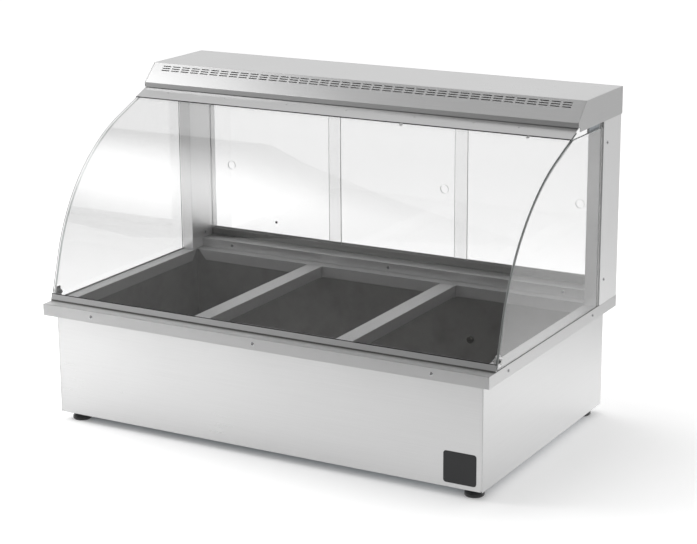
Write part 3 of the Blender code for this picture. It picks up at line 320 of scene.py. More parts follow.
def piece(name, shape, finish, body=CABINET, sharp=35, grime=None):
    """A finished object at the origin that rides on a body, shaded smooth below an angle in degrees."""
    points, faces = shape
    mesh = bpy.data.meshes.new(name)
    mesh.from_pydata(np.asarray(points, float).tolist(), [], faces)
    mesh.shade_smooth()
    mesh.set_sharp_from_angle(angle=math.radians(sharp))
    mesh.materials.append(finish)
    # The point attribute carries how much painted shade darkens each point
    if grime is not None:
        mesh.attributes.new("grime", "FLOAT", "POINT").data.foreach_set("value", grime)
    made = bpy.data.objects.new(name, mesh)
    bpy.context.scene.collection.objects.link(made)
    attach(made, body)
    return made


def dress(names, finish):
    """Gives CAD nodes their finish."""
    for name in names:
        NODES[name].data.materials.clear()
        NODES[name].data.materials.append(finish)


# Finishes


BEVEL_SAMPLES = 6
# How far a plain finish strays from its roughness, up and down
ROUGH_SPREAD = 0.06
# How much of the sheet's brightness a lip keeps: painted shade that darkens its colour
LIP_PAINTED_SHADE = 0.82
# Length of the caps of a heat lamp
LAMP_CAP = 0.022


def add(tree, kind, links=None, **settings):
    """Adds a node: settings are its attributes, links its inputs' values or the outputs that feed them."""
    made = tree.nodes.new("ShaderNode" + kind)
    for key, value in settings.items():
        setattr(made, key, value)
    for socket, value in (links or {}).items():
        if isinstance(value, bpy.types.NodeSocket):
            tree.links.new(value, made.inputs[socket])
        else:
            made.inputs[socket].default_value = value
    return made


def ramp(tree, value, ends=(0, 1), levels=(0, 1), eased=False):
    """A value's run between two ends, carried to two levels; eased, it starts and stops softly."""
    links = {"Value": value, "From Min": ends[0], "From Max": ends[1]}
    links.update({"To Min": levels[0], "To Max": levels[1]})
    kind = "SMOOTHSTEP" if eased else "LINEAR"
    return add(tree, "MapRange", links, interpolation_type=kind).outputs[0]


def reckon(tree, operation, *values):
    """One operation on values or outputs."""
    return add(tree, "Math", dict(enumerate(values)), operation=operation).outputs[0]


def blend(tree, share, low, high):
    """A colour that goes from low to high with a share."""
    return add(tree, "Mix", {0: share, 6: low, 7: high}, data_type="RGBA").outputs[2]


def cloud(tree, spot, size, detail, **more):
    """Noise whose features are about a size across, in metres."""
    links = {"Vector": spot.outputs["Object"], "Scale": 1 / size, "Detail": detail, **more}
    return add(tree, "TexNoise", links).outputs["Fac"]


def soft_folds(tree, radius):
    """Normals that shade edges and folds as rounds of a radius."""
    return add(tree, "Bevel", {"Radius": radius}, samples=BEVEL_SAMPLES).outputs[0]


def emptied(made):
    """The node tree of a material or world, cleared."""
    made.use_nodes = True
    made.node_tree.nodes.clear()
    return made.node_tree


def new_finish(name):
    """An empty material with its Principled shader, its tree and its Object coordinates."""
    made = bpy.data.materials.new(name)
    made.use_nodes = True
    tree = made.node_tree
    return made, tree, tree.nodes["Principled BSDF"], add(tree, "TexCoord")


def set_on(tree, shader, **values):
    """Sets or links a shader's sockets, named with underscores for spaces."""
    for key, value in values.items():
        socket = shader.inputs[key.replace("_", " ")]
        if isinstance(value, bpy.types.NodeSocket):
            tree.links.new(value, socket)
        else:
            socket.default_value = value


def known(name):
    return bpy.data.materials.get(name)


def brushed_stainless(grain, dulled=0.0, lip=None, bright=1.0):
    """Austenitic stainless sheet, belt-brushed along one axis.

    The belt leaves long fine streaks, so highlights spread across them and stay narrow along them.
    Real streaks are about 0.2 mm wide; they are drawn ten times coarser, so that they show. Wiping
    and heat dull a sheet: part of its mirror turns into an even sheen. A lip, in front of a given y,
    has painted shade: its colour is darker than the sheet's. A sheet given a share above one is
    painted lighter by that share, as painted light.
    """
    name = f"stainless sheet, belt-brushed along {grain}"
    name += ", dulled" if dulled else ""
    name += ", lip painted darker" if lip else ""
    name += ", with painted light" if bright > 1 else ""
    if known(name):
        return known(name)
    c = colours()
    made, tree, shader, spot = new_finish(name)
    stretch = [1 / (c.grain_length if axis == grain else c.grain_width) for axis in "XYZ"]
    streaks = add(tree, "Mapping", {"Vector": spot.outputs["Object"], "Scale": stretch})
    grit = add(tree, "TexNoise", {"Vector": streaks.outputs[0], "Scale": 1, "Detail": 3}).outputs["Fac"]
    # A share above one makes the sheet's colour lighter: painted light
    tint = blend(tree, grit, shade(c.stainless_dark, bright), shade(c.stainless, bright))
    # Painted shade: the lip's front is coloured darker than the sheet
    if lip:
        ahead = add(tree, "SeparateXYZ", {0: spot.outputs["Object"]})
        front = reckon(tree, "LESS_THAN", ahead.outputs[1], lip)
        tint = blend(tree, front, tint, shade(c.stainless, LIP_PAINTED_SHADE))
    rough = c.sheet_roughness + 0.2 * dulled
    fine = ramp(tree, grit, (0.3, 0.7), (rough - 0.02, rough + 0.02))
    # Handling and polishing leave soft patches about 160 mm wide
    patch = ramp(tree, cloud(tree, spot, 0.160, 2), levels=(-0.025, 0.025))
    # The tangent is a little askew, so that it is never square to a face
    lay = {"X": (1, 0.16, 0.08), "Y": (0.16, 1, 0.08), "Z": (0.08, 0.16, 1)}[grain]
    set_on(
        tree,
        shader,
        Base_Color=tint,
        Metallic=c.sheet_metal - dulled,
        Roughness=reckon(tree, "ADD", fine, patch),
        Anisotropic=c.sheet_grain,
        Tangent=add(tree, "CombineXYZ", dict(enumerate(lay))).outputs[0],
        Normal=soft_folds(tree, 0.0012),
    )
    return made


def satin_well_steel():
    """Stainless sheet with a satin rolled finish, dulled by heat and water.

    It reflects softly and greyly, with pale cloudy marks where water has dried.
    """
    name = "stainless sheet, satin-rolled and heat-dulled"
    if known(name):
        return known(name)
    c = colours()
    made, tree, shader, spot = new_finish(name)
    # Water marks are clouds of about 90 mm with ragged edges
    mark = ramp(tree, cloud(tree, spot, 0.090, 7, Roughness=0.62), (0.42, 0.68))
    set_on(
        tree,
        shader,
        Base_Color=blend(tree, mark, c.well, c.well_stain),
        Metallic=0.82,
        Roughness=ramp(tree, mark, levels=(0.30, 0.46)),
        Normal=soft_folds(tree, 0.0015),
    )
    return made


def spangled_zinc_sheet():
    """Steel sheet, hot-dip galvanised: flat zinc crystals about 9 mm across, each with its own grey."""
    name = "galvanised sheet, hot-dipped"
    if known(name):
        return known(name)
    c = colours()
    made, tree, shader, spot = new_finish(name)
    cells = add(tree, "TexVoronoi", {"Vector": spot.outputs["Object"], "Scale": 1 / 0.009})
    grey = add(tree, "SeparateColor", {0: cells.outputs["Color"]})
    tint = blend(tree, grey.outputs[0], c.galvanised_dark, c.galvanised)
    rough = ramp(tree, grey.outputs[1], levels=(0.36, 0.52))
    set_on(tree, shader, Base_Color=tint, Metallic=1.0, Roughness=rough)
    return made


def speckled(name, low, high, grit, rough, metallic=0.0, bevel=0.0, bump=0.0):
    """A plain finish with a grain of a given size in its colour, and a little in its roughness.

    Bevel rounds the shading of edges and facets, and bump is the height of a moulded texture.
    """
    if known(name):
        return known(name)
    made, tree, shader, spot = new_finish(name)
    noise = cloud(tree, spot, grit, 4)
    tint = blend(tree, noise, low, high)
    uneven = ramp(tree, noise, levels=(rough - ROUGH_SPREAD, rough + ROUGH_SPREAD))
    set_on(tree, shader, Base_Color=tint, Metallic=metallic, Roughness=uneven)
    if bevel or bump:
        height = {"Height": noise, "Distance": bump, "Strength": 1.0, "Normal": soft_folds(tree, bevel)}
        set_on(tree, shader, Normal=add(tree, "Bump", height).outputs[0])
    return made


def shade(tone, share):
    """A colour with its linear red, green and blue multiplied by a share."""
    return (*(share * part for part in tone[:3]), 1.0)


def plated_zinc():
    """Steel fasteners, bright zinc plate: a cool even shine with a fine cloud in it."""
    tone = colours().zinc
    return speckled("zinc plate, bright", shade(tone, 0.86), tone, 0.004, 0.26, 1.0, 0.0006)


def polished_zinc():
    """Bolts and nuts in sight, zinc plate polished in a barrel: bright, with crisp reflections."""
    tone = colours().polished_zinc
    return speckled("zinc plate, barrel-polished", shade(tone, 0.9), tone, 0.004, 0.14, 1.0, 0.0005)


def steamed_zinc():
    """A gland in the well, zinc plate gone dark and dull in steam."""
    tone = colours().steamed_zinc
    return speckled("zinc plate, steam-dulled", shade(tone, 0.6), tone, 0.003, 0.42, 1.0, 0.0005)


def driven_zinc():
    """Screw heads, bright zinc plate, with painted shade darkening the recess and the rim."""
    name = "zinc plate, driven and soiled"
    if known(name):
        return known(name)
    tone = colours().zinc
    made, tree, shader, spot = new_finish(name)
    plate = blend(tree, cloud(tree, spot, 0.004, 3), shade(tone, 0.8), tone)
    # Painted shade, darkest in the cross recess, with more roughness there
    painted_dark = add(tree, "Attribute", attribute_name="grime").outputs["Fac"]
    tint = blend(tree, painted_dark, plate, colours().grime)
    rough = ramp(tree, painted_dark, levels=(0.24, 0.6))
    set_on(tree, shader, Base_Color=tint, Metallic=1.0, Roughness=rough)
    return made


def seal_rubber():
    """EPDM, extruded or moulded: near black and matt, with a fine bloom."""
    tone = colours().rubber
    return speckled("EPDM rubber, moulded", shade(tone, 0.7), shade(tone, 1.5), 0.006, 0.62, 0, 0.002)


def worn_rubber():
    """EPDM, extruded, then wiped and dusted for years: a dull dark grey."""
    tone = colours().worn_rubber
    return speckled("EPDM rubber, extruded and worn", shade(tone, 0.8), tone, 0.006, 0.6, 0, 0.0006)


def glossy_rubber():
    """Hard rubber, moulded in a polished mould: black with a soft shine on its round edge."""
    tone = colours().rubber
    return speckled("hard rubber, moulded", shade(tone, 0.8), shade(tone, 1.3), 0.006, 0.36, 0, 0.002)


def moulded_plastic():
    """ABS, moulded with a spark-eroded texture: black with a soft broad sheen."""
    tone = colours().plastic
    return speckled("ABS, moulded", shade(tone, 0.8), shade(tone, 1.3), 0.0012, 0.42, 0, 0.0015, 0.00004)


def extruded_plastic():
    """Hard grey plastic, extruded: a smooth satin that shows the light along its edges."""
    tone = colours().track
    return speckled("rigid plastic, extruded", shade(tone, 0.85), tone, 0.012, 0.34, 0.0, 0.0006)


def red_plastic():
    """Polycarbonate, moulded clear red: deep colour under a smooth gloss."""
    tone = colours().red
    return speckled("polycarbonate, moulded red", shade(tone, 0.75), tone, 0.005, 0.18, 0, 0.001)


def steatite():
    """Steatite, pressed and fired: warm white, dry and faintly speckled."""
    tone = colours().ceramic
    return speckled("steatite, pressed and fired", shade(tone, 0.85), tone, 0.0015, 0.55, 0, 0.001)


def heater_sheath():
    """Nickel alloy sheath, drawn and oxidised: dull grey-brown with straw and blue patches."""
    tone = colours().sheath
    return speckled("nickel alloy sheath, oxidised", shade(tone, 0.6), shade(tone, 1.3), 0.030, 0.48, 1.0)


def lacquered_plate():
    """Aluminium plate, rolled and lacquered: charcoal under a smooth satin coat."""
    tone = colours().plate
    return speckled("aluminium plate, lacquered", shade(tone, 0.85), shade(tone, 1.2), 0.013, 0.40)


def screen_ink():
    """Screen ink on steel: flat, slightly uneven in depth."""
    tone = colours().ink
    return speckled("screen ink, baked", shade(tone, 0.8), shade(tone, 1.2), 0.003, 0.55)


def pointer_ink():
    """Hot-stamped foil on the knob: white, a little worn."""
    tone = colours().pointer
    return speckled("hot-stamped foil, white", shade(tone, 0.85), tone, 0.002, 0.40)


def frosted_quartz():
    """Quartz tube, drawn and frosted, with steatite caps fired on at both ends.

    The caps are told from the tube by how far a point lies from its lamp's middle along X.
    """
    name = "quartz tube, frosted, with steatite caps"
    if known(name):
        return known(name)
    c = colours()
    low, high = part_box("lamp_middle")
    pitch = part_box("lamp_right")[0].x - low.x
    made, tree, shader, spot = new_finish(name)
    along = add(tree, "SeparateXYZ", {0: spot.outputs["Object"]}).outputs[0]
    wrapped = reckon(tree, "WRAP", along, -pitch / 2, pitch / 2)
    caps = reckon(tree, "GREATER_THAN", reckon(tree, "ABSOLUTE", wrapped), high.x - LAMP_CAP)
    tube = blend(tree, cloud(tree, spot, 0.004, 3), shade(c.quartz, 0.8), c.quartz)
    set_on(
        tree,
        shader,
        Base_Color=blend(tree, caps, tube, c.ceramic),
        Roughness=ramp(tree, caps, levels=(0.22, 0.55)),
        Normal=soft_folds(tree, 0.003),
    )
    return made


def clear_glass(name, tone):
    """Soda-lime glass, floated and tempered: polished, nearly colourless, and lamps shine through it."""
    name = f"soda-lime glass, tempered, {name}"
    if known(name):
        return known(name)
    made, tree, shader, _ = new_finish(name)
    set_on(tree, shader, Base_Color=tone, Roughness=0.0, IOR=1.52, Transmission_Weight=1.0)
    path = add(tree, "LightPath")
    through = add(tree, "BsdfTransparent", {"Color": shade(tone, 0.94)})
    parts = {0: path.outputs["Is Shadow Ray"], 1: shader.outputs[0], 2: through.outputs[0]}
    mixed = add(tree, "MixShader", parts)
    tree.links.new(mixed.outputs[0], tree.nodes["Material Output"].inputs["Surface"])
    return made


def ground_glass():
    """Soda-lime glass, edges ground with a wheel: a dull grey-green.

    It is dark where the eye looks along the sheet, and bright where light comes through from behind.
    """
    tone = colours().ground_edge
    made = speckled("soda-lime glass, edge ground", shade(tone, 0.85), tone, 0.003, 0.42)
    shader = made.node_tree.nodes["Principled BSDF"]
    set_on(made.node_tree, shader, IOR=1.52, Transmission_Weight=colours().edge_through)
    return made


def seamed_glass():
    """Soda-lime glass, edges seamed with a fine belt: a pale frosted line."""
    tone = colours().seamed_edge
    return speckled("soda-lime glass, edge seamed", shade(tone, 0.85), tone, 0.003, 0.36)


def finish_edges(made, finish, edges):
    """Gives a finish to the faces of a glass that a test on their outward normals picks as its edges."""
    faces = made.data.polygons
    normals = np.empty(3 * len(faces), np.float32)
    faces.foreach_get("normal", normals)
    made.data.materials.append(finish)
    faces.foreach_set("material_index", edges(normals.reshape(-1, 3)).astype(np.int32))


# Operators


# How much of their mirror the deck and ledge, and the posts and dividers, have lost
DECK_DULLED = 0.28
POST_DULLED = 0.25
# How much lighter the posts' colour is than the other sheets: painted light
POST_PAINTED_LIGHT = 1.35
# Depth of the lip behind the front of the deck that gets painted shade
LIP_DEPTH = 0.003


class FOODCASE_OT_sheet_metal(bpy.types.Operator):
    """Brushes the hood, panels, deck, posts, ledge and channel, each along its own length"""

    bl_idname = "food_case.sheet_metal"
    bl_label = "Sheet metal"

    def execute(self, context):
        along = ["canopy_hood", "front_panel", "rear_panel", "front_rail", "glass_strip"]
        dress(along, brushed_stainless("X"))
        dress(["rear_ledge"], brushed_stainless("X", DECK_DULLED))
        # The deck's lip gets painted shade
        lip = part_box("deck_frame")[0].y + LIP_DEPTH
        dress(["deck_frame"], brushed_stainless("X", DECK_DULLED, lip))
        ends = [f"{part}_{side}" for part in ("side_panel", "canopy_end") for side, _ in SIDES]
        dress(ends, brushed_stainless("Y"))
        posts = [f"post_{side}" for side, _ in SIDES]
        # The posts get painted light
        dress(posts, brushed_stainless("Z", POST_DULLED, bright=POST_PAINTED_LIGHT))
        return {"FINISHED"}


class FOODCASE_OT_hot_well(bpy.types.Operator):
    """Finishes the well, its dividers, its heaters and the probe's gland"""

    bl_idname = "food_case.hot_well"
    bl_label = "Hot well"

    def execute(self, context):
        dress(["well_liner"], satin_well_steel())
        dividers = [f"divider_{side}" for side, _ in SIDES]
        dress(dividers, brushed_stainless("Y", POST_DULLED))
        dress([f"heater_{spot}" for spot in ROW], heater_sheath())
        dress(["probe_gland"], steamed_zinc())
        return {"FINISHED"}


# The bent glass: its lean at the foot and at the head, and the line of its outer face in Y and Z
GLASS_LEAN = math.radians(16.5)
GLASS_HEAD_LEAN = math.radians(68)
GLASS_LOWER_RUN = 0.095
GLASS_ARC_STEPS = 72
GLASS_FOOT = (-0.2915, 0.2715)
GLASS_HEAD = (0.0773, 0.6703)
# The share of an outward normal across the sheet that tells an edge from a broad face
GLASS_EDGE = 0.6
# The least share along +X on the rounds at the right end of the bent glass
GLASS_ROUND = 0.1


def leaning(lean):
    """Heading and outward normal, in Y and Z, of a sheet that leans back by an angle."""
    lean = np.asarray(lean)
    heading = np.stack([np.sin(lean), np.cos(lean)], -1)
    normal = np.stack([-np.cos(lean), np.sin(lean)], -1)
    return heading, normal


def bent_line():
    """Outer face of the front glass in Y and Z, with its normals.

    A straight from the foot, then an arc whose radius brings the last straight to the head: the step
    from the arc's start to the head, less radius * (last normal - first normal), lies along the head.
    """
    foot, head = np.array(GLASS_FOOT), np.array(GLASS_HEAD)
    (first, spoke), (last, last_spoke) = leaning(GLASS_LEAN), leaning(GLASS_HEAD_LEAN)
    start = foot + first * GLASS_LOWER_RUN
    step, chord = head - start, last_spoke - spoke
    radius = (step[0] * last[1] - step[1] * last[0]) / (chord[0] * last[1] - chord[1] * last[0])
    lean = np.linspace(GLASS_LEAN, GLASS_HEAD_LEAN, GLASS_ARC_STEPS + 1)
    normals = leaning(lean)[1]
    arc = start + (normals - spoke) * radius
    points = np.concatenate([foot[None], arc, head[None]])
    return points, np.concatenate([spoke[None], normals, last_spoke[None]])


def bent_sheet(half_width, thick, round_over):
    """The front glass: its section carried along X, with a quarter round on the edges at both ends.

    A point is line - depth * normal, where depth runs from 0 on the outer face to the thickness on the
    inner one. Near an end, x = half width - e * (1 - sin t) and both faces draw in by e * (1 - cos t).
    """
    line, normals = bent_line()
    turn = np.linspace(0, math.pi / 2, 4)
    # One more section inside the rounds keeps the broad faces flat across
    end_x = half_width - round_over * np.append(2.5, 1 - np.sin(turn))
    draw = round_over * np.append(0.0, 1 - np.cos(turn))
    x = np.concatenate([-end_x[::-1], end_x])
    inset = np.concatenate([draw[::-1], draw])
    count = len(line)
    depth = np.stack([inset, thick - inset], -1)
    section = line[None, None] - depth[:, :, None, None] * normals[None, None]
    loops = np.concatenate([section[:, 0], section[:, 1, ::-1]], 1)
    along = np.broadcast_to(x[:, None, None], loops.shape[:2] + (1,))
    points = np.concatenate([along, loops], -1).reshape(-1, 3)
    ring = 2 * count
    k, s = np.meshgrid(np.arange(len(x) - 1), np.arange(ring), indexing="ij")
    t = (s + 1) % ring
    skin = np.stack([k * ring + s, (k + 1) * ring + s, (k + 1) * ring + t, k * ring + t], -1)
    i = np.arange(count - 1)
    cap = np.stack([i, i + 1, ring - 2 - i, ring - 1 - i], -1)
    far = cap[:, ::-1] + (len(x) - 1) * ring
    return points, np.concatenate([skin.reshape(-1, 4), cap, far]).tolist()


class FOODCASE_OT_front_glass(bpy.types.Operator):
    """Bends the front glass smoothly; its right end is ground and its left end polished"""

    bl_idname = "food_case.front_glass"
    bl_label = "Front glass"

    def execute(self, context):
        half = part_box("front_glass")[1].x
        shape = bent_sheet(half, sizes().glass, sizes().glass_round)
        made = piece("bent_glass", shape, clear_glass("bent", colours().glass))
        finish_edges(made, ground_glass(), lambda look: look[:, 0] > GLASS_ROUND)
        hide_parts("front_glass")
        return {"FINISHED"}


# The bumper on the left door: its place in X and Z, and its profile of radius and height
BUMPER_PLACE = (-0.3175, 0.3360)
BUMPER = ((0.0030, -0.0001), (0.0030, 0.0012), (0.0022, 0.0020), (0.0008, 0.0022))


class FOODCASE_OT_flat_glass(bpy.types.Operator):
    """Glazes the sides and the doors, and sets the small bumper on the left door"""

    bl_idname = "food_case.flat_glass"
    bl_label = "Sides and doors"

    def execute(self, context):
        panes = [f"side_glass_{side}" for side, _ in SIDES]
        dress(panes, clear_glass("side pane", colours().glass))
        doors = [f"door_{spot}" for spot in ROW]
        dress(doors, clear_glass("door", colours().door_glass))
        for axis, names in ((0, panes), (1, doors)):
            for name in names:
                finish_edges(NODES[name], seamed_glass(), lambda look: np.abs(look[:, axis]) < GLASS_EDGE)
        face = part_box("door_left")[0].y
        x, z = BUMPER_PLACE
        shape = many(turned(BUMPER, 20), [((x, face, z), (0, -1, 0), 0)])
        piece("door_bumper", shape, seal_rubber(), body="door_left")
        return {"FINISHED"}


class FOODCASE_OT_seals(bpy.types.Operator):
    """Lays the seals along the glass strip, the front channel and the posts"""

    bl_idname = "food_case.seals"
    bl_label = "Seals"

    def execute(self, context):
        rubber = seal_rubber()
        gaskets = ["rail_gasket"] + [f"side_gasket_{side}" for side, _ in SIDES]
        dress(gaskets, worn_rubber())
        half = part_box("glass_strip")[1].x
        bead = sizes().bead
        heading, normal = leaning(GLASS_HEAD_LEAN)
        strip_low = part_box("glass_strip")[0]
        tip = np.array([strip_low.y, strip_low.z]) - heading * bead * 0.35 + normal * 0.0004
        shape = bar(oval(bead * 0.55, bead * 0.45, tip), -half, half, "X")
        piece("strip_seal", shape, rubber)
        # The channel's front leg ends 10 mm up the glass, where its bead shows
        heading, normal = leaning(GLASS_LEAN)
        brow = np.array(GLASS_FOOT) + heading * 0.0108 + normal * 0.0010
        shape = bar(oval(bead * 0.4, bead * 0.4, brow), -half, half, "X")
        piece("channel_seal", shape, rubber)
        for side, _ in SIDES:
            low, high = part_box(f"side_glass_{side}")
            middle = (low.x + high.x) / 2
            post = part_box(f"post_{side}")[0].y
            shape = bar(oval(0.0012, 0.0011, (middle, post - 0.0010)), low.z, high.z, "Z")
            piece(f"post_seal_{side}", shape, rubber)
        return {"FINISHED"}


# Screws: their X along the lip, the ledge and the rear panel, and their places on sides and posts
LIP_SCREW_DROP = 0.0125
LIP_SCREWS_X = (-0.405, 0, 0.407)
LEDGE_SCREWS_X = (-0.414, 0.0055, 0.431)
REAR_SCREWS_X = (-0.485, 0.0, 0.485)
REAR_SCREWS_Z = (0.040, 0.230)
SIDE_SCREWS_Y = (-0.234, 0.189)
POST_SCREWS_Y = 0.246
POST_SCREWS_Z = (0.618, 0.320)
INNER_SCREW_YZ = (0.2674, 0.3000)
# Screws stop at any angle: each is turned on by the golden angle
GOLDEN_ANGLE = 2.4


class FOODCASE_OT_screws(bpy.types.Operator):
    """Drives the cross-recess screws of the lip, ledge, posts and operator's panel"""

    bl_idname = "food_case.screws"
    bl_label = "Screws"

    def execute(self, context):
        s = sizes()
        deck_low, deck_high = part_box("deck_frame")
        lip_z = deck_high.z - LIP_SCREW_DROP
        ledge_low, ledge_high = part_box("rear_ledge")
        ledge_z = (ledge_low.z + ledge_high.z) / 2
        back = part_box("rear_panel")[1].y
        lip = [((x, deck_low.y, lip_z), (0, -1, 0)) for x in LIP_SCREWS_X]
        groups = {"lip_screws_front": (lip, s.lip_screw_height)}
        ledge = [((x, ledge_low.y, ledge_z), (0, -1, 0)) for x in LEDGE_SCREWS_X]
        groups["ledge_screws"] = (ledge, s.screw_height)
        rear = [((x, back, z), (0, 1, 0)) for x in REAR_SCREWS_X for z in REAR_SCREWS_Z]
        groups["rear_panel_screws"] = (rear, s.screw_height)
        for side, sign in SIDES:
            x = sign * deck_high.x
            outer = [((x, y, lip_z), (sign, 0, 0)) for y in SIDE_SCREWS_Y]
            outer += [((x, POST_SCREWS_Y, z), (sign, 0, 0)) for z in POST_SCREWS_Z]
            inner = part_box(f"post_{side}")[1 if sign < 0 else 0].x
            outer.append(((inner, *INNER_SCREW_YZ), (-sign, 0, 0)))
            groups[f"side_screws_{side}"] = (outer, s.screw_height)
        for name, (spots, height) in groups.items():
            head = pan_head(s.screw_radius, height)
            turned_on = [(*spot, GOLDEN_ANGLE * i) for i, spot in enumerate(spots)]
            # Painted shade in each head's cross recess and at its rim
            grime = np.tile(recess_painted_shade(head[0], s.screw_radius), len(spots))
            piece(name, many(head, turned_on), driven_zinc(), grime=grime)
        rail = [f"rail_{part}_{side}" for part in ("bolt", "nut") for side, _ in SIDES]
        dress(rail, polished_zinc())
        return {"FINISHED"}


# The X of the rivets and of the clips along the strip over the glass
RIVETS_X = (-0.460, -0.308, -0.149, 0.0006, 0.165, 0.303, 0.406)
CLIPS_X = (0.1483, 0.4390)


class FOODCASE_OT_strip_fittings(bpy.types.Operator):
    """Sets the rivets of the strip over the glass and the two clips below it"""

    bl_idname = "food_case.strip_fittings"
    bl_label = "Strip rivets and clips"

    def execute(self, context):
        s = sizes()
        steel = brushed_stainless("X")
        heading, normal = leaning(GLASS_HEAD_LEAN)
        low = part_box("glass_strip")[0]
        outer = np.array([low.y, low.z]) + heading * 0.026 + normal * 0.0012
        look = (0, *normal)
        spots = [((x, *outer), look, 0) for x in RIVETS_X]
        rivets = many(rivet_head(s.rivet_radius, s.rivet_height), spots)
        piece("strip_rivets", rivets, steel)
        edge = np.array([low.y, low.z]) - heading * 0.0055
        clip = pad(0.0075, 0.0080, 0.0016, 0.0030, 0.0006, sink=0.0)
        knob = turned([(0.0018, 0.0010), (0.0018, 0.0024), (0.0010, 0.0028)], 14)
        spots = [((x, *edge), look, 0) for x in CLIPS_X]
        piece("glass_clips", many(joined(clip, knob), spots), steel)
        return {"FINISHED"}


# The plain plate's middle in X and Z
PLATE_PLACE = (0.4605, 0.0620)


class FOODCASE_OT_plate(bpy.types.Operator):
    """Fixes the plain lacquered plate low on the right of the front panel"""

    bl_idname = "food_case.plate"
    bl_label = "Plain plate"

    def execute(self, context):
        s = sizes()
        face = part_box("front_panel")[0].y
        shape = pad(s.plate_width, s.plate_height, s.plate_thick, 0.006, 0.0004)
        x, z = PLATE_PLACE
        placed = many(shape, [((x, face, z), (0, -1, 0), 0)])
        piece("plain_plate", placed, lacquered_plate())
        return {"FINISHED"}


def printed(name, words, place, height, thick):
    """Generic figures as a solid: the text's outline, thickened and stood on the operator's panel."""
    curve = bpy.data.curves.new(name, "FONT")
    curve.body = words
    curve.size = height
    curve.extrude = thick
    curve.align_x, curve.align_y = "CENTER", "CENTER"
    holder = bpy.data.objects.new(name + ".text", curve)
    mesh = bpy.data.meshes.new_from_object(holder)
    bpy.data.objects.remove(holder)
    flat = np.zeros(len(mesh.vertices) * 3)
    mesh.vertices.foreach_get("co", flat)
    faces = [list(face.vertices) for face in mesh.polygons]
    bpy.data.meshes.remove(mesh)
    points = flat.reshape(-1, 3)
    # Seen from behind, +X is to the left
    return np.column_stack([place[0] - points[:, 0], place[1] + points[:, 2], place[2] + points[:, 1]]), faces


# The dial: its figures, and how far they and its ticks lie outside the knob
DIAL_FIGURES = "012345678"
FIGURES_OUT = 0.0105
TICKS_OUT = 0.0040
# How far the switch marks lie from the switches, and the pointer's middle from the knob's axis
MARKS_OUT = 0.0065
POINTER_OUT = 0.0055


class FOODCASE_OT_controls(bpy.types.Operator):
    """Finishes the operator's controls and prints the dial and the switch marks"""

    bl_idname = "food_case.controls"
    bl_label = "Controls"

    def execute(self, context):
        black = ["thermostat_knob", "light_rocker", "power_switch", "light_switch", "cord_gland"]
        dress(black + ["terminal_block"], moulded_plastic())
        dress(["power_rocker", "pilot_lamp"], red_plastic())
        dress(["thermostat"], steatite())
        s = sizes()
        ink = screen_ink()
        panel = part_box("rear_panel")[1].y
        low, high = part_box("thermostat_knob")
        centre, reach = (low + high) / 2, (high.x - low.x) / 2
        # The dial runs clockwise as the operator sees it, over 270 degrees from the top
        turn = np.radians(np.linspace(90, -180, len(DIAL_FIGURES)))
        ways = np.column_stack([-np.cos(turn), np.sin(turn)])
        tick = pad(0.0009, 0.0042, s.print_thick, 0.0003, 0.0001, sink=0.0001)

        def beside_knob(way, out, y):
            return (centre.x + way[0] * out, y, centre.z + way[1] * out)

        def pointing(way):
            return math.atan2(way[0], -way[1])

        shapes = []
        for figure, way in zip(DIAL_FIGURES, ways):
            place = beside_knob(way, reach + FIGURES_OUT, panel)
            shapes.append(printed("figure", figure, place, s.print_height, s.print_thick))
            place = beside_knob(way, reach + TICKS_OUT, panel)
            shapes.append(many(tick, [(place, (0, 1, 0), pointing(way))]))
        for name in ("power_switch", "light_switch"):
            below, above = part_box(name)
            x = (below.x + above.x) / 2
            for words, z in (("I", above.z + MARKS_OUT), ("O", below.z - MARKS_OUT)):
                shapes.append(printed("mark", words, (x, panel, z), s.print_height, s.print_thick))
        piece("panel_print", joined(*shapes), ink)
        line = pad(0.0014, 0.0070, 0.0003, 0.0006, 0.0001, sink=0.0002)
        # At rest the knob stands at 0, where the dial starts
        spot = (beside_knob(ways[0], POINTER_OUT, high.y), (0, 1, 0), pointing(ways[0]))
        piece("knob_pointer", many(line, [spot]), pointer_ink(), body="thermostat_knob")
        return {"FINISHED"}


class FOODCASE_OT_lamps(bpy.types.Operator):
    """Finishes the ceiling, the heat lamps and their brackets"""

    bl_idname = "food_case.lamps"
    bl_label = "Heat lamps"

    def execute(self, context):
        brackets = [f"lamp_bracket_{spot}" for spot in ROW]
        dress(["light_pan"] + brackets, spangled_zinc_sheet())
        dress([f"lamp_{spot}" for spot in ROW], frosted_quartz())
        return {"FINISHED"}


class FOODCASE_OT_feet(bpy.types.Operator):
    """Finishes the feet, their studs and the floor pan"""

    bl_idname = "food_case.feet"
    bl_label = "Feet and floor pan"

    def execute(self, context):
        dress([f"foot_{corner}" for corner in CORNERS], glossy_rubber())
        dress([f"stud_{corner}" for corner in CORNERS], plated_zinc())
        dress(["floor_pan"], spangled_zinc_sheet())
        return {"FINISHED"}


class FOODCASE_OT_tracks(bpy.types.Operator):
    """Finishes the door tracks"""

    bl_idname = "food_case.tracks"
    bl_label = "Door tracks"

    def execute(self, context):
        dress(["door_track_lower", "door_track_upper"], extruded_plastic())
        return {"FINISHED"}


def aimed(place, target):
    """Matrix of a lamp or card at a place whose -Z looks at a target."""
    look = Vector(target) - Vector(place)
    made = look.to_track_quat("-Z", "Y").to_matrix().to_4x4()
    made.translation = place
    return made


def staged(made):
    """Links an object to the scene as part of its stage."""
    bpy.context.scene.collection.objects.link(made)


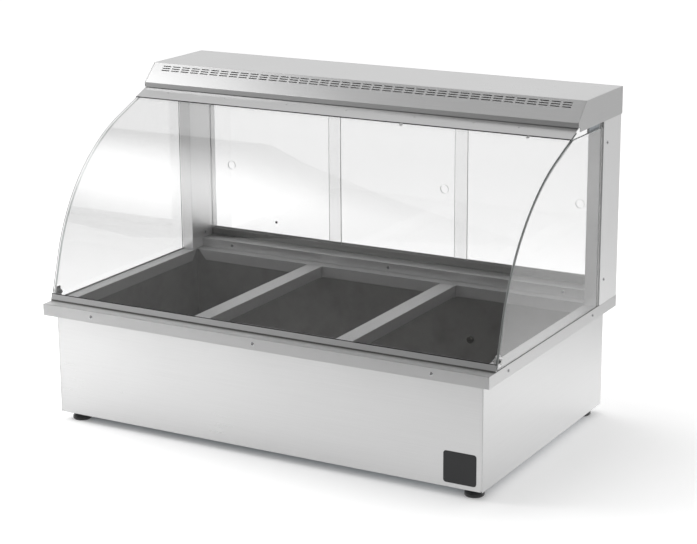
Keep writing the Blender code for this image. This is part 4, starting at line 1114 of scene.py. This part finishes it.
def light_card(name, place, target, size, strength):
    """A glowing card with soft edges: its glow falls from the middle as (1 - x^2)(1 - y^2), squared."""
    corner = np.array([[-1, -1, 0], [-1, 1, 0], [1, 1, 0], [1, -1, 0]], float)
    mesh = bpy.data.meshes.new(name)
    mesh.from_pydata((corner * [size[0] / 2, size[1] / 2, 1]).tolist(), [], [[0, 1, 2, 3]])
    glow = bpy.data.materials.new(name)
    tree = emptied(glow)
    share = {"Vector": add(tree, "TexCoord").outputs["Object"], "Scale": (2 / size[0], 2 / size[1], 1)}
    part = add(tree, "SeparateXYZ", {0: add(tree, "Mapping", share).outputs[0]})
    falls = [reckon(tree, "SUBTRACT", 1, reckon(tree, "POWER", part.outputs[axis], 2)) for axis in (0, 1)]
    soft = reckon(tree, "POWER", reckon(tree, "MULTIPLY", *falls), 2)
    light = add(tree, "Emission", {"Strength": reckon(tree, "MULTIPLY", soft, strength)})
    add(tree, "OutputMaterial", {"Surface": light.outputs[0]})
    mesh.materials.append(glow)
    made = bpy.data.objects.new(name, mesh)
    made.matrix_world = aimed(place, target)
    made.visible_camera = False
    staged(made)


def scrim_lamp(name, place, target, size, power, spread):
    """A lamp behind a scrim: it lights the floor and the case, and isn't mirrored in the steel."""
    lamp = bpy.data.lights.new(name, "AREA")
    lamp.shape = "RECTANGLE"
    lamp.size, lamp.size_y = size
    lamp.energy = power
    lamp.spread = math.radians(spread)
    made = bpy.data.objects.new(name, lamp)
    made.matrix_world = aimed(place, target)
    made.visible_glossy = False
    made.visible_transmission = False
    staged(made)


# How the floor's lift to white changes with the distance from the case, stretched along Y
FLOOR_STRETCH = (1, 1.35, 0)
FLOOR_RISE = (0.45, 1.7)
# Where the floor that metal sees fades, and the share that is left of it
FLOOR_FADE = (0.9, 3.0)
FLOOR_FADED = 0.4
# The pool of light that the right side mirrors
POOL_PLACE = (0.65, 0.25, 0)
POOL_REACH = 0.95
# The shade under the base runs from inside its outline to just outside it
UNDER_BASE = (-0.05, 0.02)


def floor_lift(tree, s):
    """How far the floor is lifted to white, for the eye, through glass and in metal.

    The lift rises away from the case, so that its shadow stays deep and the far floor is white. Under
    the base no light comes back: how far a point lies outside the base's outline sets the shade.
    """
    place = add(tree, "TexCoord").outputs["Object"]
    path = add(tree, "LightPath")
    through = reckon(tree, "MULTIPLY", path.outputs["Is Transmission Ray"], s.floor_glass)
    eye = reckon(tree, "MAXIMUM", path.outputs["Is Camera Ray"], through)
    flat = add(tree, "Mapping", {"Vector": place, "Scale": FLOOR_STRETCH})
    away = add(tree, "VectorMath", {0: flat.outputs[0]}, operation="LENGTH").outputs["Value"]
    lit = ramp(tree, away, FLOOR_RISE, (s.floor_glow, s.floor_far), True)
    front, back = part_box("front_panel")[0].y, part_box("rear_panel")[1].y
    half = (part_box("side_panel_right")[1].x, (back - front) / 2, 0)
    centred = add(tree, "Mapping", {"Vector": place, "Location": (0, -(front + back) / 2, 0)})
    folded = add(tree, "VectorMath", {0: centred.outputs[0]}, operation="ABSOLUTE")
    beyond = add(tree, "VectorMath", {0: folded.outputs[0], 1: half}, operation="SUBTRACT")
    sides = add(tree, "SeparateXYZ", {0: beyond.outputs[0]}).outputs
    outside = reckon(tree, "MAXIMUM", sides[0], sides[1])
    seen = reckon(tree, "MULTIPLY", lit, ramp(tree, outside, UNDER_BASE, eased=True))
    mirrored = ramp(tree, away, FLOOR_FADE, (s.floor_mirror, FLOOR_FADED * s.floor_mirror), True)
    off = add(tree, "VectorMath", {0: place, 1: POOL_PLACE}, operation="DISTANCE").outputs["Value"]
    pool = ramp(tree, off, (0, POOL_REACH), (s.side_pool, 0), True)
    metal = reckon(tree, "MULTIPLY", path.outputs["Is Glossy Ray"], reckon(tree, "ADD", mirrored, pool))
    return reckon(tree, "MULTIPLY_ADD", eye, seen, metal)


def studio_floor(s):
    """A flat floor: white to the eye, to metal and to glass, and it keeps the case's shadow."""
    reach, front = s.floor_reach, s.floor_front
    corner = np.array([[-reach, -front], [reach, -front], [reach, reach], [-reach, reach]])
    mesh = bpy.data.meshes.new("floor")
    mesh.from_pydata(np.column_stack([corner, np.zeros(4)]).tolist(), [], [[0, 1, 2, 3]])
    made = bpy.data.materials.new("paper floor, matt white")
    tree = emptied(made)
    paper = add(tree, "BsdfDiffuse", {"Color": s.floor})
    lift = add(tree, "Emission", {"Color": (1, 1, 1, 1), "Strength": floor_lift(tree, s)})
    both = add(tree, "AddShader", {0: paper.outputs[0], 1: lift.outputs[0]})
    add(tree, "OutputMaterial", {"Surface": both.outputs[0]})
    mesh.materials.append(made)
    staged(bpy.data.objects.new("floor", mesh))


def studio_world(s):
    """White to the eye and through the glass; metal sees a white backdrop, a ceiling and a dim front.

    Metal behind glass sees that front brighter, as if a screen stood there for it.
    """
    world = bpy.data.worlds.new("white studio")
    bpy.context.scene.world = world
    tree = emptied(world)
    way = add(tree, "TexCoord").outputs["Generated"]
    side, depth, rise = add(tree, "SeparateXYZ", {0: way}).outputs
    path = add(tree, "LightPath")
    # A ray that has crossed more than one sheet of glass has been inside the case and left it again
    inside = reckon(tree, "GREATER_THAN", path.outputs["Transmission Depth"], 2.5)
    front = ramp(tree, inside, levels=(s.studio_front, s.studio_inside))
    backdrop = ramp(tree, depth, (-0.3, 0.3), (front, s.studio_back), True)
    wall = ramp(tree, side, (-0.3, -0.8), (s.studio_front, s.studio_left), True)
    around = reckon(tree, "MAXIMUM", backdrop, wall)
    upward = ramp(tree, rise, (0.70, 0.95), eased=True)
    studio = add(tree, "Mix", {0: upward, 2: around, 3: s.studio_top}, data_type="FLOAT").outputs[0]
    bounced = reckon(tree, "ADD", path.outputs["Glossy Depth"], path.outputs["Diffuse Depth"])
    straight = reckon(tree, "LESS_THAN", bounced, 0.5)
    through = reckon(tree, "MULTIPLY", straight, path.outputs["Is Transmission Ray"])
    eye = reckon(tree, "MAXIMUM", path.outputs["Is Camera Ray"], through)
    level = add(tree, "Mix", {0: eye, 2: studio, 3: 1.0}, data_type="FLOAT").outputs[0]
    sky = add(tree, "Background", {"Color": (1, 1, 1, 1), "Strength": level})
    add(tree, "OutputWorld", {"Surface": sky.outputs[0]})


def studio_camera():
    """The camera at the photograph's viewing angle, from the fitted yaw, pitch and roll."""
    yaw, pitch, roll = CAMERA_YAW, CAMERA_PITCH, CAMERA_ROLL
    ahead = Vector((-math.sin(yaw) * math.cos(pitch), math.cos(yaw) * math.cos(pitch), -math.sin(pitch)))
    right = Vector((math.cos(yaw), math.sin(yaw), 0))
    up = right.cross(ahead)
    across = math.cos(roll) * right + math.sin(roll) * up
    upright = -math.sin(roll) * right + math.cos(roll) * up
    lens = bpy.data.cameras.new("camera")
    lens.sensor_width = SENSOR_MM
    lens.lens = FOCAL_PIXELS * SENSOR_MM / IMAGE_WIDTH
    made = bpy.data.objects.new("camera", lens)
    made.matrix_world = Matrix((across, upright, -ahead)).transposed().to_4x4()
    made.location = CAMERA_PLACE
    bpy.context.scene.collection.objects.link(made)
    bpy.context.scene.camera = made


class FOODCASE_OT_stage(bpy.types.Operator):
    """Lays the floor, hangs the card and the lamps, whitens the surroundings and sets the camera"""

    bl_idname = "food_case.stage"
    bl_label = "Stage"

    def execute(self, context):
        s = stage()
        context.scene.view_settings.view_transform = "Standard"
        studio_floor(s)
        studio_world(s)
        middle = (0, 0, 0.35)
        light_card("key card", (-1.75, -0.70, 2.30), middle, (2.6, 1.9), s.key_strength)
        scrim_lamp("top lamp", (-0.5, 0.3, 2.9), middle, (1.8, 1.4), s.top_power, 180)
        # A pool of light on the floor, which the front mirrors
        scrim_lamp("front pool", (-1.5, -1.05, 1.2), (-1.1, -1.0, 0), (0.5, 0.5), s.pool_power, 120)
        studio_camera()
        return {"FINISHED"}


class FOODCASE_PT_sidebar(bpy.types.Panel):
    """Lists the operators and the values that they use"""

    bl_idname = "FOODCASE_PT_sidebar"
    bl_label = "Heated food case"
    bl_space_type = "VIEW_3D"
    bl_region_type = "UI"
    bl_category = "Food case"

    def draw(self, context):
        for step in STEPS:
            self.layout.operator(step.bl_idname)
        for group in (sizes(), colours(), stage()):
            box = self.layout.box()
            for name in group.__annotations__:
                box.prop(group, name)


GROUPS = {
    "food_case_sizes": FoodCaseSizes,
    "food_case_colours": FoodCaseColours,
    "food_case_stage": FoodCaseStage,
}
STEPS = (
    FOODCASE_OT_sheet_metal,
    FOODCASE_OT_hot_well,
    FOODCASE_OT_front_glass,
    FOODCASE_OT_flat_glass,
    FOODCASE_OT_seals,
    FOODCASE_OT_screws,
    FOODCASE_OT_strip_fittings,
    FOODCASE_OT_plate,
    FOODCASE_OT_controls,
    FOODCASE_OT_lamps,
    FOODCASE_OT_feet,
    FOODCASE_OT_tracks,
    FOODCASE_OT_stage,
)
CLASSES = (*GROUPS.values(), *STEPS, FOODCASE_PT_sidebar)


def register():
    for kind in CLASSES:
        bpy.utils.register_class(kind)
    for name, group in GROUPS.items():
        setattr(bpy.types.Scene, name, PointerProperty(type=group))


def unregister():
    for name in GROUPS:
        delattr(bpy.types.Scene, name)
    for kind in reversed(CLASSES):
        bpy.utils.unregister_class(kind)


def main():
    register()
    for step in STEPS:
        module, name = step.bl_idname.split(".")
        getattr(getattr(bpy.ops, module), name)()


if __name__ == "__main__":
    main()
